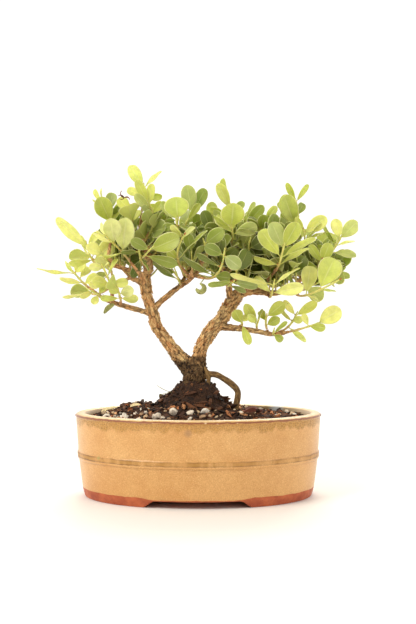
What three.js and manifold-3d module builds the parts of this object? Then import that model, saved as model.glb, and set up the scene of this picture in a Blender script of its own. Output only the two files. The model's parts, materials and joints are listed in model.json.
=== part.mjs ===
// A natal plum bonsai in its oval glazed pot: a forked trunk with an arching root, woody limbs,
// and leafy shoots with leaves in crossed pairs. Millimetres, +Z up, viewer at -Y.
// The plant is laid out about the middle of the pot; the finished group is then moved so that
// the middle of its whole footprint, on the surface it stands on, is the origin.
import * as THREE from "three";
import { mergeVertices } from "three/addons/utils/BufferGeometryUtils.js";
import Module from "manifold-3d";

const wasm = await Module();
wasm.setup();

// Pot: a ten-inch oval. A profile row is [inset from the rim's oval, height].
const potHalfLength = 127;
const potHalfWidth = 95;
const potSegments = 32;
const footHeight = 7;
const floorTop = 13;
const potProfile = [
  [20.5, footHeight],
  [20, 0],
  [10.5, 0],
  [8.2, 8],
  [4.3, 38],
  [3.1, 39],
  [2.6, 45.2],
  [3.6, 46.2],
  [1.4, 80.6],
  [0, 81.8],
  [3, 84.4],
  [7.5, 85],
  [10.8, 84.2],
  [12, 81],
  [18.5, 22],
  [23.5, 14.5],
  [30, floorTop],
];
const footGap = { halfAtGround: 52, halfAtTop: 42 };
const drain = { x: 45, radius: 8, screenSide: 24, screenThick: 0.8, screenHole: 5.4, screenHoles: 3 };

// Clearance between pieces that touch.
const seatGap = 0.45;

// Soil: level bark mix, a steep mound round the trunk and a low heap on the left.
const soilLevel = 79;
const soilWall = [
  [30.4, floorTop + 0.5],
  [24.1, 15.1],
  [19.1, 22.2],
];
const soilEdgeInset = 12.8;
const soilRings = [1, 0.86, 0.66, 0.46, 0.3, 0.18];
const mound = { x: -1, core: 19, coreRadius: 23.5, skirt: 17, skirtRadius: 50 };
const heap = { x: -72, y: 6, height: 9, spreadX: 30, spreadY: 40 };
const ripples = [
  { height: 1.1, alongX: 0.21, alongY: 0.27 },
  { height: 0.7, alongX: 0.33, alongY: -0.24 },
  { height: 0.7, alongX: 0.5, alongY: -0.3 },
];
const soilSeed = 4117;
const lumpCount = 5;
// Pumice and bark pieces that stand out at the front: [x, y, half length].
const frontLumps = [
  [-24, -46, 4.6],
  [-8, -44, 4.2],
  [8, -45, 4.4],
  [-45, -50, 4],
  [-80, -36, 3.6],
  [56, -48, 8.5],
];

// Wood, as stations [x, y, z, radius] along each limb.
const stemSides = 7;
const limbSides = 5;
const barkRoughness = 0.07;
const rootRoughness = 0.04;
const barkSeed = 211;
const thickLimbs = ["bole", "leftStem", "rightStem"];
const bareLimbs = ["bole", "stub"];
const limbs = {
  bole: [
    [-4, 0, 99, 14],
    [-5, 0, 110, 12],
    [-4.5, 0, 118, 11],
    [-3.5, 0, 126, 12],
    [-4, 0, 133, 10.5],
  ],
  leftStem: [
    [-8, 0, 127, 8.5],
    [-14.8, -1, 135.5, 7.6],
    [-20.5, -2, 141.2, 6.9],
    [-35.3, -3, 161.2, 5.8],
    [-43.7, -3, 173.8, 5.7],
    [-46.8, -2, 186.3, 5.5],
    [-51.5, 0, 198.8, 5.3],
    [-54, 2, 211.2, 5.6],
    [-54.5, 3, 223.7, 5],
    [-50.5, 4, 233, 3.8],
    [-50, 5, 243, 3],
    [-57, 6, 255, 2.4],
    [-61, 8, 267, 2],
    [-60, 8, 278, 1.7],
  ],
  rightStem: [
    [-1, 0, 129, 8],
    [1.3, 0, 142.7, 6.4],
    [3.7, -1, 152.5, 6.5],
    [14, -2, 168.8, 7.4],
    [24.1, -2, 180, 6.6],
    [32.3, -1, 193.7, 7],
    [41.3, 0, 205, 6.2],
    [50, 2, 209, 4.5],
    [62, 3, 208, 3.6],
    [73, 4, 206.6, 3],
    [90, 4, 208, 2.5],
    [104, 2, 211, 2],
  ],
  lowLeft: [
    [-47, -1, 184, 3.4],
    [-56, -3, 187.5, 2.9],
    [-66, -6, 190.5, 2.7],
    [-77.4, -9, 193.7, 2.6],
    [-87.2, -12, 196.8, 2.2],
    [-95, -14, 199.5, 1.9],
  ],
  leftArm: [
    [-54, 1, 224, 3.2],
    [-69.5, -4, 229.5, 2.5],
    [-83, -8, 234, 2.2],
    [-92, -12, 242, 1.9],
  ],
  stub: [
    [-55, 1, 216, 3.4],
    [-62, -2, 219, 2.8],
    [-68.5, -3, 221.5, 2.3],
  ],
  inner: [
    [-46, 0, 190, 3.6],
    [-40.5, 1, 196, 3.1],
    [-29.3, 3, 206, 2.8],
    [-19, 4, 213.8, 2.6],
    [-11.1, 6, 218.8, 2.4],
    [1.6, 8, 232.4, 2],
    [3, 8, 246, 1.7],
  ],
  leftBack: [
    [-54, 2, 211, 3],
    [-62, 20, 218, 2.6],
    [-74, 40, 226, 2.2],
    [-84, 56, 236, 1.8],
  ],
  leftFront: [
    [-52.5, 0, 206, 2.8],
    [-55, -18, 216, 2.4],
    [-57, -32, 226, 2],
  ],
  middleBack: [
    [-19, 4, 214, 2.4],
    [-14, 24, 224, 2.1],
    [-10, 44, 232, 1.8],
  ],
  middleFront: [
    [-12, 6, 218, 2.3],
    [-8, -12, 222, 2],
    [-6, -26, 228, 1.7],
  ],
  rightFork: [
    [34, -2, 198, 4.2],
    [31.5, -4, 212, 3.4],
    [29, -5, 223, 2.8],
    [24, -6, 236, 2.3],
    [26, -6, 249, 1.8],
  ],
  rightFront: [
    [44, 1, 206, 3],
    [49, -16, 211, 2.4],
    [54, -32, 218, 2],
  ],
  rightBack: [
    [41, 0, 205, 3.2],
    [50, 22, 214, 2.6],
    [58, 44, 224, 2.2],
    [64, 60, 232, 1.8],
  ],
  rightRise: [
    [60, 3, 208, 2.8],
    [72, 6, 221, 2.4],
    [82, 6, 236, 2.1],
    [88, 5, 252, 1.8],
  ],
  armBack: [
    [88, 4, 207.8, 2.3],
    [102, 22, 216, 2],
    [112, 38, 226, 1.7],
  ],
  armRise: [
    [90, 4, 208, 2.2],
    [108, 4, 222, 2],
    [122, 4, 230, 1.7],
  ],
  lowRight: [
    [20, -2, 173, 4.2],
    [27.4, -5, 171.5, 3.6],
    [42.9, -9, 169.9, 3],
    [60.7, -12, 167.3, 2.6],
    [74, -14, 164.5, 2.3],
    [87.2, -15, 165.6, 2],
  ],
};
const archingRoot = [
  [5, -4, 121, 3.6],
  [10.8, -6, 123.4, 3.2],
  [18.7, -8, 122.7, 3.1],
  [26.6, -10, 118.6, 3.1],
  [34.4, -12, 113.2, 3.2],
  [39.6, -13, 107.6, 3.2],
  [40.4, -13, 101.3, 3.1],
  [39.2, -13, 95, 3.2],
  [37.6, -13, 86, 3.4],
  [37, -13, 79, 3],
];
const sideRoot = [
  [5, -5, 130, 2.4],
  [9, -7, 125, 2.5],
  [10.5, -8, 118, 2.4],
  [9.5, -8, 111, 2.4],
  [8.5, -8, 103, 2],
];

// Leafy shoots: foot [x, y, z], tip [x, y, z], pairs of leaves, leaf length, and the turn of the
// first pair about the stem in degrees (0 spreads the pair across the front view).
const shoots = [
  // Crown over the left stem.
  [[-59, 8, 290], [-57, 8, 317], 3, 25, 0],
  [[-64, -4, 268], [-70, -6, 294], 2, 22, 80],
  [[-89, 0, 268], [-100, -6, 300], 3, 24, 60],
  [[-96, -8, 234], [-114, -10, 256], 2, 31, 15],
  [[-68, -24, 237], [-91, -48, 262], 3, 33, 60],
  [[-87, -16, 219], [-97, -20, 246], 3, 24, 30],
  [[-112, -8, 212], [-127, -6, 227], 3, 25, 20],
  [[-87, -26, 208], [-95, -32, 232], 3, 23, 50],
  [[-95, -16, 201], [-107, -20, 208], 2, 24, 0],
  [[-78, -24, 198], [-80, -38, 211], 3, 23, 60],
  [[-56, -10, 235], [-59, -30, 249], 2, 25, 45],
  [[-55, -16, 242], [-46, -42, 250], 2, 31, 30],
  [[-102, 48, 239], [-126, 68, 257], 2, 24, 20],
  [[-88, 60, 242], [-102, 84, 267], 2, 24, 40],
  [[-67, 36, 253], [-64, 56, 285], 2, 24, 10],
  [[-103, 34, 208], [-123, 60, 218], 2, 24, 30],
  [[-50, 4, 270], [-51, 0, 299], 3, 25, 20],
  // Middle of the crown.
  [[-15, -10, 263], [-20, -34, 280], 3, 25, 0],
  [[-12, 8, 264], [-5, 4, 290], 3, 24, 10],
  [[-16, -20, 231], [-14, -46, 262], 3, 25, 20],
  [[-18, -4, 215], [-23, -14, 228], 2, 33, 10],
  [[8, -14, 241], [6, -36, 257], 2, 27, 10],
  [[31, 6, 266], [33, 4, 296], 3, 28, 20],
  [[30, -10, 253], [33, -32, 272], 3, 26, 20],
  [[46, 4, 260], [48, -4, 279], 2, 25, 20],
  [[6, -26, 221], [26, -56, 246], 3, 24, 10],
  [[36, -22, 219], [35, -54, 238], 2, 27, 40],
  [[30, -14, 213], [36, -34, 218], 2, 26, 30],
  [[58, -4, 236], [52, -28, 259], 3, 25, 60],
  [[68, 8, 262], [71, 10, 284], 2, 23, 30],
  [[-20, 46, 264], [-25, 64, 290], 2, 24, 20],
  [[14, 50, 258], [17, 72, 291], 2, 24, 0],
  [[49, 54, 252], [52, 76, 284], 2, 24, 20],
  // Crown over the right stem.
  [[95, 4, 260], [100, 4, 304], 3, 26, 0],
  [[79, -26, 230], [84, -54, 251], 3, 28, 0],
  [[104, -2, 254], [108, -8, 270], 2, 26, 20],
  [[72, -26, 202], [75, -46, 216], 2, 31, 5],
  [[132, 0, 242], [146, -4, 263], 3, 24, 10],
  [[122, -10, 225], [125, -22, 239], 2, 24, 40],
  [[130, 10, 223], [144, 12, 231], 3, 24, 30],
  [[101, -20, 204], [138, -44, 218], 3, 27, 70],
  [[95, -6, 218], [96, -26, 231], 2, 27, 30],
  [[99, 56, 239], [108, 80, 267], 2, 24, 20],
  [[128, 46, 241], [143, 64, 257], 2, 24, 40],
  [[109, 42, 213], [131, 72, 224], 2, 24, 10],
  // The low limb on the right.
  [[43, -12, 173], [44, -18, 177], 2, 15, 0],
  [[60, -14, 169], [60, -22, 177], 2, 18, 0],
  [[70, -14, 169], [69, -18, 182], 3, 21, 20],
  [[76, -18, 164], [76, -26, 168], 2, 17, 20],
  [[86, -12, 168], [100, -8, 184], 3, 21, 0],
  [[92, -18, 167], [122, -22, 176], 3, 22, 20],
];

// Leaves that stand out in the front view, under the number of their shoot: two for each pair from
// the foot up, as tip [x, y, z], width, and roll in degrees from facing the viewer. "rule" leaves
// one to the rule below, and "none" leaves its place empty.
const placedLeaves = {
  1: [
    [[-77, 0, 292], 10, 20],
    [[-35, -6, 291], 11, 0],
    [[-74, 12, 315], 9, 10],
    [[-38, 14, 307], 8, -20],
    [[-71, 5, 339], 13, 0],
    [[-38, 11, 333], 8, 60],
  ],
  3: [
    [[-101, -12, 304], 19, 0],
    [[-80, 6, 300], 11, 20],
    "rule",
    [[-89, 8, 311], 12, 0],
    [[-107, -2, 313], 6, 30],
    [[-100, 2, 315], 5, 70],
  ],
  4: [
    [[-131, -19, 236], 8, 35],
    [[-88, -23, 258], 17, 0],
    [[-143, -18, 283], 13, 20],
    [[-103, 2, 269], 9, 20],
  ],
  5: [
    [[-95, -26, 243], 8, 80],
    [[-71, -46, 279], 21, 0],
    [[-105, -31, 266], 7, 60],
    [[-86, -49, 279], 18, -10],
    [[-99, -54, 266], 5, 60],
    [[-97, -34, 276], 6, 40],
  ],
  7: [
    [[-141, -13, 222], 8, 40],
    [[-100, -23, 223], 11, 15],
    [[-138, -1, 239], 6, 60],
    [[-112, 1, 232], 9, 20],
    [[-165, -10, 231], 6, 78],
    [[-118, -14, 239], 13, 0],
  ],
  8: [
    [[-105, -38, 219], 12, 10],
    [[-70, -36, 217], 10, 0],
    [[-109, -24, 213], 10, 30],
    [[-81, -24, 240], 8, 60],
    [[-108, -38, 233], 9, 10],
    [[-89, -36, 236], 5, 70],
  ],
  9: [
    [[-106, -24, 195], 8, 0],
    [[-94, -10, 215], 9, 10],
    [[-137, -22, 202], 6, 60],
    [[-118, -30, 202], 7, 20],
  ],
  10: [
    [[-98, -24, 201], 7, 20],
    [[-60, -32, 200], 9, 0],
    [[-87, -41, 211], 9, 10],
    [[-64, -43, 209], 12, 0],
    "rule",
    "none",
  ],
  11: [
    [[-67, -25, 222], 9, 10],
    [[-50, -29, 228], 5, 70],
    [[-77, -34, 247], 7, 40],
    [[-38, -38, 241], 10, -45],
  ],
  12: [
    [[-69, -18, 243], 9, 20],
    [[-21, -32, 235], 12, -25],
    [[-66, -44, 258], 11, 0],
    [[-18, -52, 260], 19, 0],
  ],
  17: [
    "none",
    "rule",
    [[-65, 10, 308], 10, 0],
    [[-36, -8, 299], 9, 30],
    [[-64, 6, 323], 10, 0],
    [[-48, 4, 319], 10, 10],
  ],
  18: [
    "none",
    [[-3, -26, 255], 7, 60],
    [[-36, -21, 272], 9, 10],
    [[-5, -29, 267], 8, 50],
    [[-38, -20, 298], 10, 20],
    [[-22, -40, 301], 25, 0],
  ],
  19: [
    "none",
    "none",
    "rule",
    [[2, -6, 298], 8, 20],
    [[-12, 2, 318], 16, 0],
    [[7, 10, 315], 13, 0],
  ],
  20: [
    [[-30, -32, 249], 10, 15],
    [[8, -40, 268], 9, 75],
    "rule",
    "none",
    [[-26, -52, 272], 8, 35],
    [[-4, -36, 272], 7, 40],
  ],
  21: [
    [[-46, -17, 238], 10, 60],
    [[-1, -13, 219], 7, 20],
    [[-39, -7, 233], 8, 30],
    "none",
  ],
  22: [
    "none",
    "rule",
    [[-8, -30, 265], 9, 20],
    [[25, -46, 268], 14, 0],
  ],
  23: [
    "rule",
    "none",
    [[11, -1, 294], 9, 20],
    [[47, 13, 302], 9, 10],
    [[20, -4, 319], 12, 0],
    [[26, 10, 326], 11, 45],
  ],
  24: [
    "rule",
    [[53, -13, 253], 12, 20],
    "rule",
    [[59, -28, 273], 14, 0],
    [[15, -25, 284], 7, 60],
    [[35, -43, 295], 24, 0],
  ],
  25: [
    "rule",
    "rule",
    [[58, 5, 301], 7, 20],
    [[66, -13, 295], 12, 0],
  ],
  26: [
    [[-15, -41, 241], 9, 50],
    [[32, -29, 221], 13, 0],
    [[-1, -39, 245], 7, 35],
    "none",
    [[7, -56, 251], 12, 0],
    [[41, -58, 230], 14, 0],
  ],
  28: [
    "none",
    [[48, -27, 207], 7, 30],
    [[10, -36, 214], 8, 40],
    [[59, -40, 212], 10, 10],
  ],
  34: [
    [[87, -10, 307], 19, 0],
    "rule",
    [[82, 10, 300], 8, 30],
    [[109, 10, 300], 9, 0],
    [[91, 1, 320], 7, 10],
    [[114, 7, 319], 6, 10],
  ],
  35: [
    [[56, -31, 242], 9, 40],
    [[111, -27, 252], 9, 55],
    [[62, -42, 268], 17, 0],
    [[116, -44, 260], 10, 35],
    [[72, -58, 274], 16, 0],
    [[97, -58, 274], 16, 0],
  ],
  36: [
    "rule",
    [[133, 1, 269], 8, 75],
    [[100, 1, 284], 7, 20],
    [[130, -15, 283], 15, 0],
  ],
  37: [
    [[57, -29, 222], 10, 10],
    [[104, -47, 212], 13, 0],
    [[32, -50, 225], 8, 45],
    [[101, -40, 231], 7, 70],
  ],
  38: [
    [[122, 5, 254], 9, 20],
    [[163, 3, 245], 9, 30],
    [[131, 2, 277], 7, 55],
    [[160, -8, 259], 8, 60],
    [[139, -10, 282], 12, 0],
    [[163, -4, 280], 15, 0],
  ],
  39: [
    [[106, -11, 236], 11, 10],
    "none",
    [[113, -17, 255], 9, 10],
    [[132, -27, 256], 13, 0],
  ],
  40: [
    "none",
    "rule",
    "none",
    [[158, 15, 224], 9, 20],
    "none",
    [[154, 8, 251], 18, 0],
  ],
  41: [
    [[113, -24, 233], 17, 0],
    [[121, -20, 197], 6, 60],
    [[135, -39, 240], 24, 0],
    [[138, -29, 207], 6, 70],
    "none",
    "none",
  ],
  46: [
    [[37, -19, 189], 12, 0],
    [[52, -17, 154], 9, 0],
    "none",
    [[51, -13, 183], 8, 10],
  ],
  47: [
    [[47, -22, 195], 11, 0],
    [[66, -12, 190], 6, 60],
    [[50, -31, 184], 8, 20],
    "none",
  ],
  48: [
    "none",
    [[82, -23, 181], 10, 0],
    [[64, -8, 188], 8, 10],
    "none",
    "none",
    [[87, -16, 196], 13, 0],
  ],
  49: [
    [[85, -22, 158], 8, 0],
    [[89, -22, 177], 6, 40],
    "none",
    "none",
  ],
  50: [
    "none",
    [[109, -17, 157], 7, 20],
    [[85, -4, 189], 6, 40],
    [[106, -18, 180], 8, 10],
    [[88, -6, 199], 7, 20],
    [[121, -10, 197], 10, 0],
  ],
  51: [
    "none",
    "none",
    [[106, -14, 185], 7, 10],
    [[128, -24, 171], 9, 0],
    "none",
    [[143, -26, 190], 18, 0],
  ],
};

// A shoot's stem leaves its spur straight, sags by a share of its reach, and ends in a bud.
const stemRadius = { foot: 1.25, tip: 1, bud: 0.65 };
const spurRadius = { seat: 1.9, end: 1.5 };
const spurLength = 9;
const stemSag = 0.16;
const stemLead = 0.45;
const budLength = 2.2;

// Each pair is mature but the last, which is young. Angles are in degrees from the stem, a size
// is a share of the shoot's leaf length, and an outline gives shares of length and half width.
const leafKinds = {
  mature: { open: 54, size: 0.86, ratio: 0.74, outline: [[0.3, 0.6], [0.62, 1], [0.87, 0.7]] },
  young: { open: 34, size: 0.74, ratio: 0.54, outline: [[0.35, 0.9], [0.78, 0.85]] },
};
// How much one leaf differs from the next.
const leafVariety = { open: 16, turn: 24, roll: 130, size: 0.28, ratio: 0.2, arch: 0.34, archMiddle: 0.62 };
// Leaves bend up towards the light by this share of their direction.
const leafLift = 0.34;
const leafSeed = 7919;
const bladeThick = 0.8;
const bladeFold = 0.28;
// How far off the stem's axis a blade is rooted.
const rootOffset = 0.2;
// Places on a blade that keep clear of other pieces, as shares of length and half width.
const bladeFeelers = [
  [0.3, 0],
  [0.32, 0.6],
  [0.32, -0.6],
  [0.5, 0],
  [0.5, 0.45],
  [0.5, -0.45],
  [0.5, 0.9],
  [0.5, -0.9],
  [0.7, 0],
  [0.7, 0.5],
  [0.7, -0.5],
  [0.68, 0.95],
  [0.68, -0.95],
  [0.88, 0],
  [0.86, 0.65],
  [0.86, -0.65],
  [1, 0],
];
const bladeClearance = 3.9;
const woodClearance = 2.4;
// What a crowded leaf tries in turn: [turn in degrees, share of its length]. A placed one tries
// to lean towards the viewer or away, by a share of its length.
const leafTries = [
  [0, 1],
  [22, 1],
  [-22, 1],
  [40, 0.9],
  [-40, 0.9],
  [10, 0.75],
  [-30, 0.75],
  [58, 0.75],
];
const leanTries = [0, 0.25, -0.25, 0.5, -0.5, 0.8, -0.8];
// Blades face away from the crown's middle, to the side they grow on, and up.
const crownMiddle = new THREE.Vector3(0, 0, 215);
const backFrom = 20;
const lean = { along: 0.4, aside: 0.9, up: 0.6 };
const viewer = new THREE.Vector3(0, -1, 0);

const materials = {
  pot: new THREE.MeshStandardMaterial({ color: 0xd8a66c, roughness: 0.3 }),
  screen: new THREE.MeshStandardMaterial({ color: 0x20242a, roughness: 0.7 }),
  soil: new THREE.MeshStandardMaterial({ color: 0x4a3224, roughness: 0.95 }),
  wood: new THREE.MeshStandardMaterial({ color: 0x9c6a44, roughness: 0.9 }),
  leaf: new THREE.MeshStandardMaterial({ color: 0x9aa83c, roughness: 0.45, side: THREE.DoubleSide }),
};

// The same run of draws from 0 to 1 each time, from a whole-number seed.
function drawsFrom(seed) {
  let state = seed;
  return () => {
    state = (state * 16807) % 2147483647;
    return state / 2147483647;
  };
}

function degrees(angle) {
  return (angle * Math.PI) / 180;
}

// A closed body from plain lists of points and triangles.
function solidFrom(points, triangles) {
  return new wasm.Manifold(
    new wasm.Mesh({
      numProp: 3,
      vertProperties: new Float32Array(points.flat()),
      triVerts: new Uint32Array(triangles.flat()),
    }),
  );
}

// A closed body from a three.js geometry.
function solidOf(geometry) {
  const bare = geometry.index ? geometry.toNonIndexed() : geometry.clone();
  bare.deleteAttribute("normal");
  bare.deleteAttribute("uv");
  const merged = mergeVertices(bare, 1e-3);
  return new wasm.Manifold(
    new wasm.Mesh({
      numProp: 3,
      vertProperties: merged.attributes.position.array,
      triVerts: new Uint32Array(merged.index.array),
    }),
  );
}

function meshOf(name, solid, material) {
  const made = solid.getMesh();
  const geometry = new THREE.BufferGeometry()
    .setAttribute("position", new THREE.BufferAttribute(made.vertProperties, 3))
    .setIndex(new THREE.BufferAttribute(made.triVerts, 1));
  geometry.computeVertexNormals();
  const mesh = new THREE.Mesh(geometry, material);
  mesh.name = name;
  return mesh;
}

// A skin over rings of equal length, closed by a flat fan at each end.
function loftOf(rings) {
  const count = rings[0].length;
  const triangles = [];
  for (let r = 0; r + 1 < rings.length; r++) {
    for (let k = 0; k < count; k++) {
      const next = (k + 1) % count;
      const a = r * count + k;
      const b = r * count + next;
      triangles.push([a, b, b + count], [a, b + count, a + count]);
    }
  }
  const last = (rings.length - 1) * count;
  for (let k = 1; k + 1 < count; k++) {
    triangles.push([0, k + 1, k], [last, last + k, last + k + 1]);
  }
  return solidFrom(rings.flat(), triangles);
}

function ovalRing(inset, heightAt) {
  return Array.from({ length: potSegments }, (_, k) => {
    const angle = (2 * Math.PI * k) / potSegments;
    const x = (potHalfLength - inset) * Math.cos(angle);
    const y = (potHalfWidth - inset) * Math.sin(angle);
    return [x, y, heightAt(x, y)];
  });
}

function makePot() {
  const body = loftOf(potProfile.map(([inset, z]) => ovalRing(inset, () => z)));
  const gapShape = new THREE.Shape([
    new THREE.Vector2(-footGap.halfAtGround, -1),
    new THREE.Vector2(footGap.halfAtGround, -1),
    new THREE.Vector2(footGap.halfAtTop, footHeight),
    new THREE.Vector2(-footGap.halfAtTop, footHeight),
  ]);
  const gap = new THREE.ExtrudeGeometry(gapShape, { depth: 4 * potHalfWidth, bevelEnabled: false })
    .rotateX(Math.PI / 2)
    .translate(0, 2 * potHalfWidth, 0);
  let pot = body.subtract(solidOf(gap));
  for (const x of [-drain.x, drain.x]) {
    const hole = new THREE.CylinderGeometry(drain.radius, drain.radius, 40, 16)
      .rotateX(Math.PI / 2)
      .translate(x, 0, floorTop);
    pot = pot.subtract(solidOf(hole));
  }
  return pot;
}

// A square of plastic mesh lying on the floor over a drain hole.
function makeScreen(x) {
  const z = floorTop + 0.3 + drain.screenThick / 2;
  const plate = new THREE.BoxGeometry(drain.screenSide, drain.screenSide, drain.screenThick);
  let screen = solidOf(plate.translate(x, 0, z));
  const pitch = drain.screenSide / drain.screenHoles;
  for (let i = 0; i < drain.screenHoles ** 2; i++) {
    const across = ((i % drain.screenHoles) + 0.5) * pitch - drain.screenSide / 2;
    const along = (Math.floor(i / drain.screenHoles) + 0.5) * pitch - drain.screenSide / 2;
    const hole = new THREE.BoxGeometry(drain.screenHole, drain.screenHole, 4);
    screen = screen.subtract(solidOf(hole.translate(x + across, along, z)));
  }
  return screen;
}

// Height of the soil; rim is 1 at the pot's wall and 0 in the middle.
function soilHeight(x, y, rim) {
  const fromTrunk = Math.hypot(x - mound.x, y);
  const core = mound.core / (1 + (fromTrunk / mound.coreRadius) ** 8);
  const skirt = mound.skirt * Math.exp(-((fromTrunk / mound.skirtRadius) ** 2));
  const away = ((x - heap.x) / heap.spreadX) ** 2 + ((y - heap.y) / heap.spreadY) ** 2;
  const heaped = heap.height * Math.exp(-away);
  const waves = ripples.map(({ height, alongX, alongY }) => height * Math.sin(alongX * x + alongY * y));
  const rippled = waves.reduce((sum, wave) => sum + wave);
  return soilLevel + core + heaped * (1 - rim ** 6) + (skirt + rippled) * (1 - rim ** 4);
}

// A rough lump: a stretched, turned octahedron.
function lumpAt(x, y, reach, draw) {
  const lump = new THREE.OctahedronGeometry(1, 0)
    .scale(reach, reach * (0.6 + 0.3 * draw()), reach * (0.5 + 0.2 * draw()))
    .rotateZ(Math.PI * draw())
    .rotateX(0.5 * draw() - 0.25);
  return solidOf(lump.translate(x, y, soilHeight(x, y, 0.7) - 0.1 * reach));
}

function makeSoil() {
  const wall = soilWall.map(([inset, z]) => ovalRing(inset, () => z));
  const edge = ovalRing(soilEdgeInset, () => 0);
  const top = soilRings.map((share) =>
    edge.map(([x, y]) => [x * share, y * share, soilHeight(x * share, y * share, share)]),
  );
  let soil = loftOf([...wall, ...top]);
  const draw = drawsFrom(soilSeed);
  for (let i = 0; i < lumpCount; i++) {
    const angle = 2 * Math.PI * ((i + 0.8 * draw()) / lumpCount);
    const out = 0.5 + 0.36 * draw();
    const x = (potHalfLength - soilEdgeInset) * out * Math.cos(angle);
    const y = (potHalfWidth - soilEdgeInset) * out * Math.sin(angle);
    soil = soil.add(lumpAt(x, y, 2.6 + 3 * draw(), draw));
  }
  for (const [x, y, reach] of frontLumps) {
    soil = soil.add(lumpAt(x, y, reach, draw));
  }
  for (const root of [limbs.bole, archingRoot.slice(-5), sideRoot]) {
    soil = soil.subtract(socketOf(root));
  }
  const half = drain.screenSide / 2 + seatGap;
  for (const x of [-drain.x, drain.x]) {
    const pocket = new THREE.BoxGeometry(2 * half, 2 * half, 3).translate(x, 0, floorTop + 0.3);
    soil = soil.subtract(solidOf(pocket));
  }
  return soil;
}

// A wider copy of what stands in the soil, which leaves a plain hole there.
function socketOf(stations) {
  const wider = stations.map(([x, y, z, radius]) => [x, y, z, radius * (1 + barkRoughness) + seatGap]);
  const lowest = wider[0][2] < wider.at(-1)[2] ? wider[0] : wider.at(-1);
  lowest[2] -= seatGap;
  return tubeOf(wider, stemSides, 0, 1);
}

// Points and radii on a smooth curve through the stations, with `parts` steps in each span.
function smoothRoute(stations, parts) {
  const route = [];
  const mix = (a, b, share) => a.map((value, i) => value + (b[i] - value) * share);
  const before = mix(stations[0], stations[1], -1);
  const after = mix(stations.at(-1), stations.at(-2), -1);
  const padded = [before, ...stations, after];
  for (let s = 1; s + 2 < padded.length; s++) {
    const [p0, p1, p2, p3] = padded.slice(s - 1, s + 3);
    for (let i = 0; i < parts; i++) {
      const t = i / parts;
      route.push(
        p1.map((value, k) => {
          const slopeIn = 0.5 * (p2[k] - p0[k]);
          const slopeOut = 0.5 * (p3[k] - p1[k]);
          const cubic = 2 * value - 2 * p2[k] + slopeIn + slopeOut;
          const square = -3 * value + 3 * p2[k] - 2 * slopeIn - slopeOut;
          return ((cubic * t + square) * t + slopeIn) * t + value;
        }),
      );
    }
  }
  route.push([...stations.at(-1)]);
  return route;
}

function placeOf(station) {
  return new THREE.Vector3(station[0], station[1], station[2]);
}

// A closed tube along [x, y, z, radius] stations; roughness makes its skin uneven.
function tubeOf(route, sides, roughness, seed, start = new THREE.Vector3(0.2, -1, 0.1)) {
  const draw = drawsFrom(seed);
  let across = start;
  const rings = route.map((station, i) => {
    const ahead = placeOf(route[Math.min(i + 1, route.length - 1)]);
    const along = ahead.sub(placeOf(route[Math.max(i - 1, 0)])).normalize();
    across = across.clone().addScaledVector(along, -across.dot(along)).normalize();
    const aside = along.clone().cross(across);
    return Array.from({ length: sides }, (_, k) => {
      const angle = (2 * Math.PI * k) / sides;
      const radius = station[3] * (1 + roughness * (2 * draw() - 1));
      return placeOf(station)
        .addScaledVector(across, radius * Math.cos(angle))
        .addScaledVector(aside, radius * Math.sin(angle))
        .toArray();
    });
  });
  return loftOf(rings);
}

// Stations on the curve from a stem's foot to its tip, which starts towards the control point.
function bowedRoute(foot, control, tip, steps) {
  const curve = new THREE.QuadraticBezierCurve3(foot, control, tip);
  return Array.from({ length: steps + 1 }, (_, i) => {
    const share = i / steps;
    const radius = stemRadius.foot + (stemRadius.tip - stemRadius.foot) * share;
    return [...curve.getPoint(share).toArray(), radius];
  });
}

// Each shoot's stem, and the woody spur that carries it on the nearest limb.
function layOutShoot([footAt, tipAt, pairs, leafLength, turn]) {
  const foot = new THREE.Vector3(...footAt);
  const tip = new THREE.Vector3(...tipAt);
  const reach = foot.distanceTo(tip);
  const control = foot.clone().lerp(tip, 0.5);
  control.z -= stemSag * reach;
  const wanted = foot.clone().add(foot.clone().sub(control).setLength(spurLength));
  let seat = null;
  for (const place of limbPlaces) {
    if (!seat || place.distanceTo(wanted) < seat.distanceTo(wanted)) {
      seat = place;
    }
  }
  const heading = foot.clone().sub(seat).normalize();
  const spur = [
    [...seat.toArray(), spurRadius.seat],
    [...foot.toArray(), spurRadius.end],
  ];
  const stemFoot = foot.clone().addScaledVector(heading, seatGap);
  control.copy(stemFoot).addScaledVector(heading, stemLead * reach);
  // Its bends lie halfway between the pairs of leaves.
  const stem = bowedRoute(stemFoot, control, tip, 2 * pairs).filter((_, i) => i === 0 || i % 2 === 1);
  const bud = tip.clone().sub(control).setLength(budLength).add(tip);
  stem.push([...bud.toArray(), stemRadius.bud]);
  return { stem, spur, pairs, leafLength, turn };
}

// Balls along a route, which blades keep clear of.
function ballsAlong(route, owner) {
  const balls = [];
  for (let i = 0; i + 1 < route.length; i++) {
    const from = placeOf(route[i]);
    const to = placeOf(route[i + 1]);
    const count = Math.max(1, Math.ceil(from.distanceTo(to) / 3));
    for (let k = 0; k <= count; k++) {
      balls.push({ at: from.clone().lerp(to, k / count), reach: route[i][3] + woodClearance, owner });
    }
  }
  return balls;
}

// Along a stretch of stem, across the front view, and into its depth.
function pairFrame(below, above) {
  const along = above.clone().sub(below).normalize();
  const depth = new THREE.Vector3(0, 1, 0).addScaledVector(along, -along.y).normalize();
  return { along, across: depth.clone().cross(along), depth };
}

// The frame of a blade: root, direction of its length, side, and upper face.
function leafFrame(root, along, facing, roll) {
  const face = facing.clone().addScaledVector(along, -facing.dot(along)).normalize();
  const aside = face.clone().cross(along);
  const turned = face.clone().multiplyScalar(Math.cos(roll)).addScaledVector(aside, Math.sin(roll));
  return { root, along, face: turned, side: turned.clone().cross(along) };
}

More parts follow.
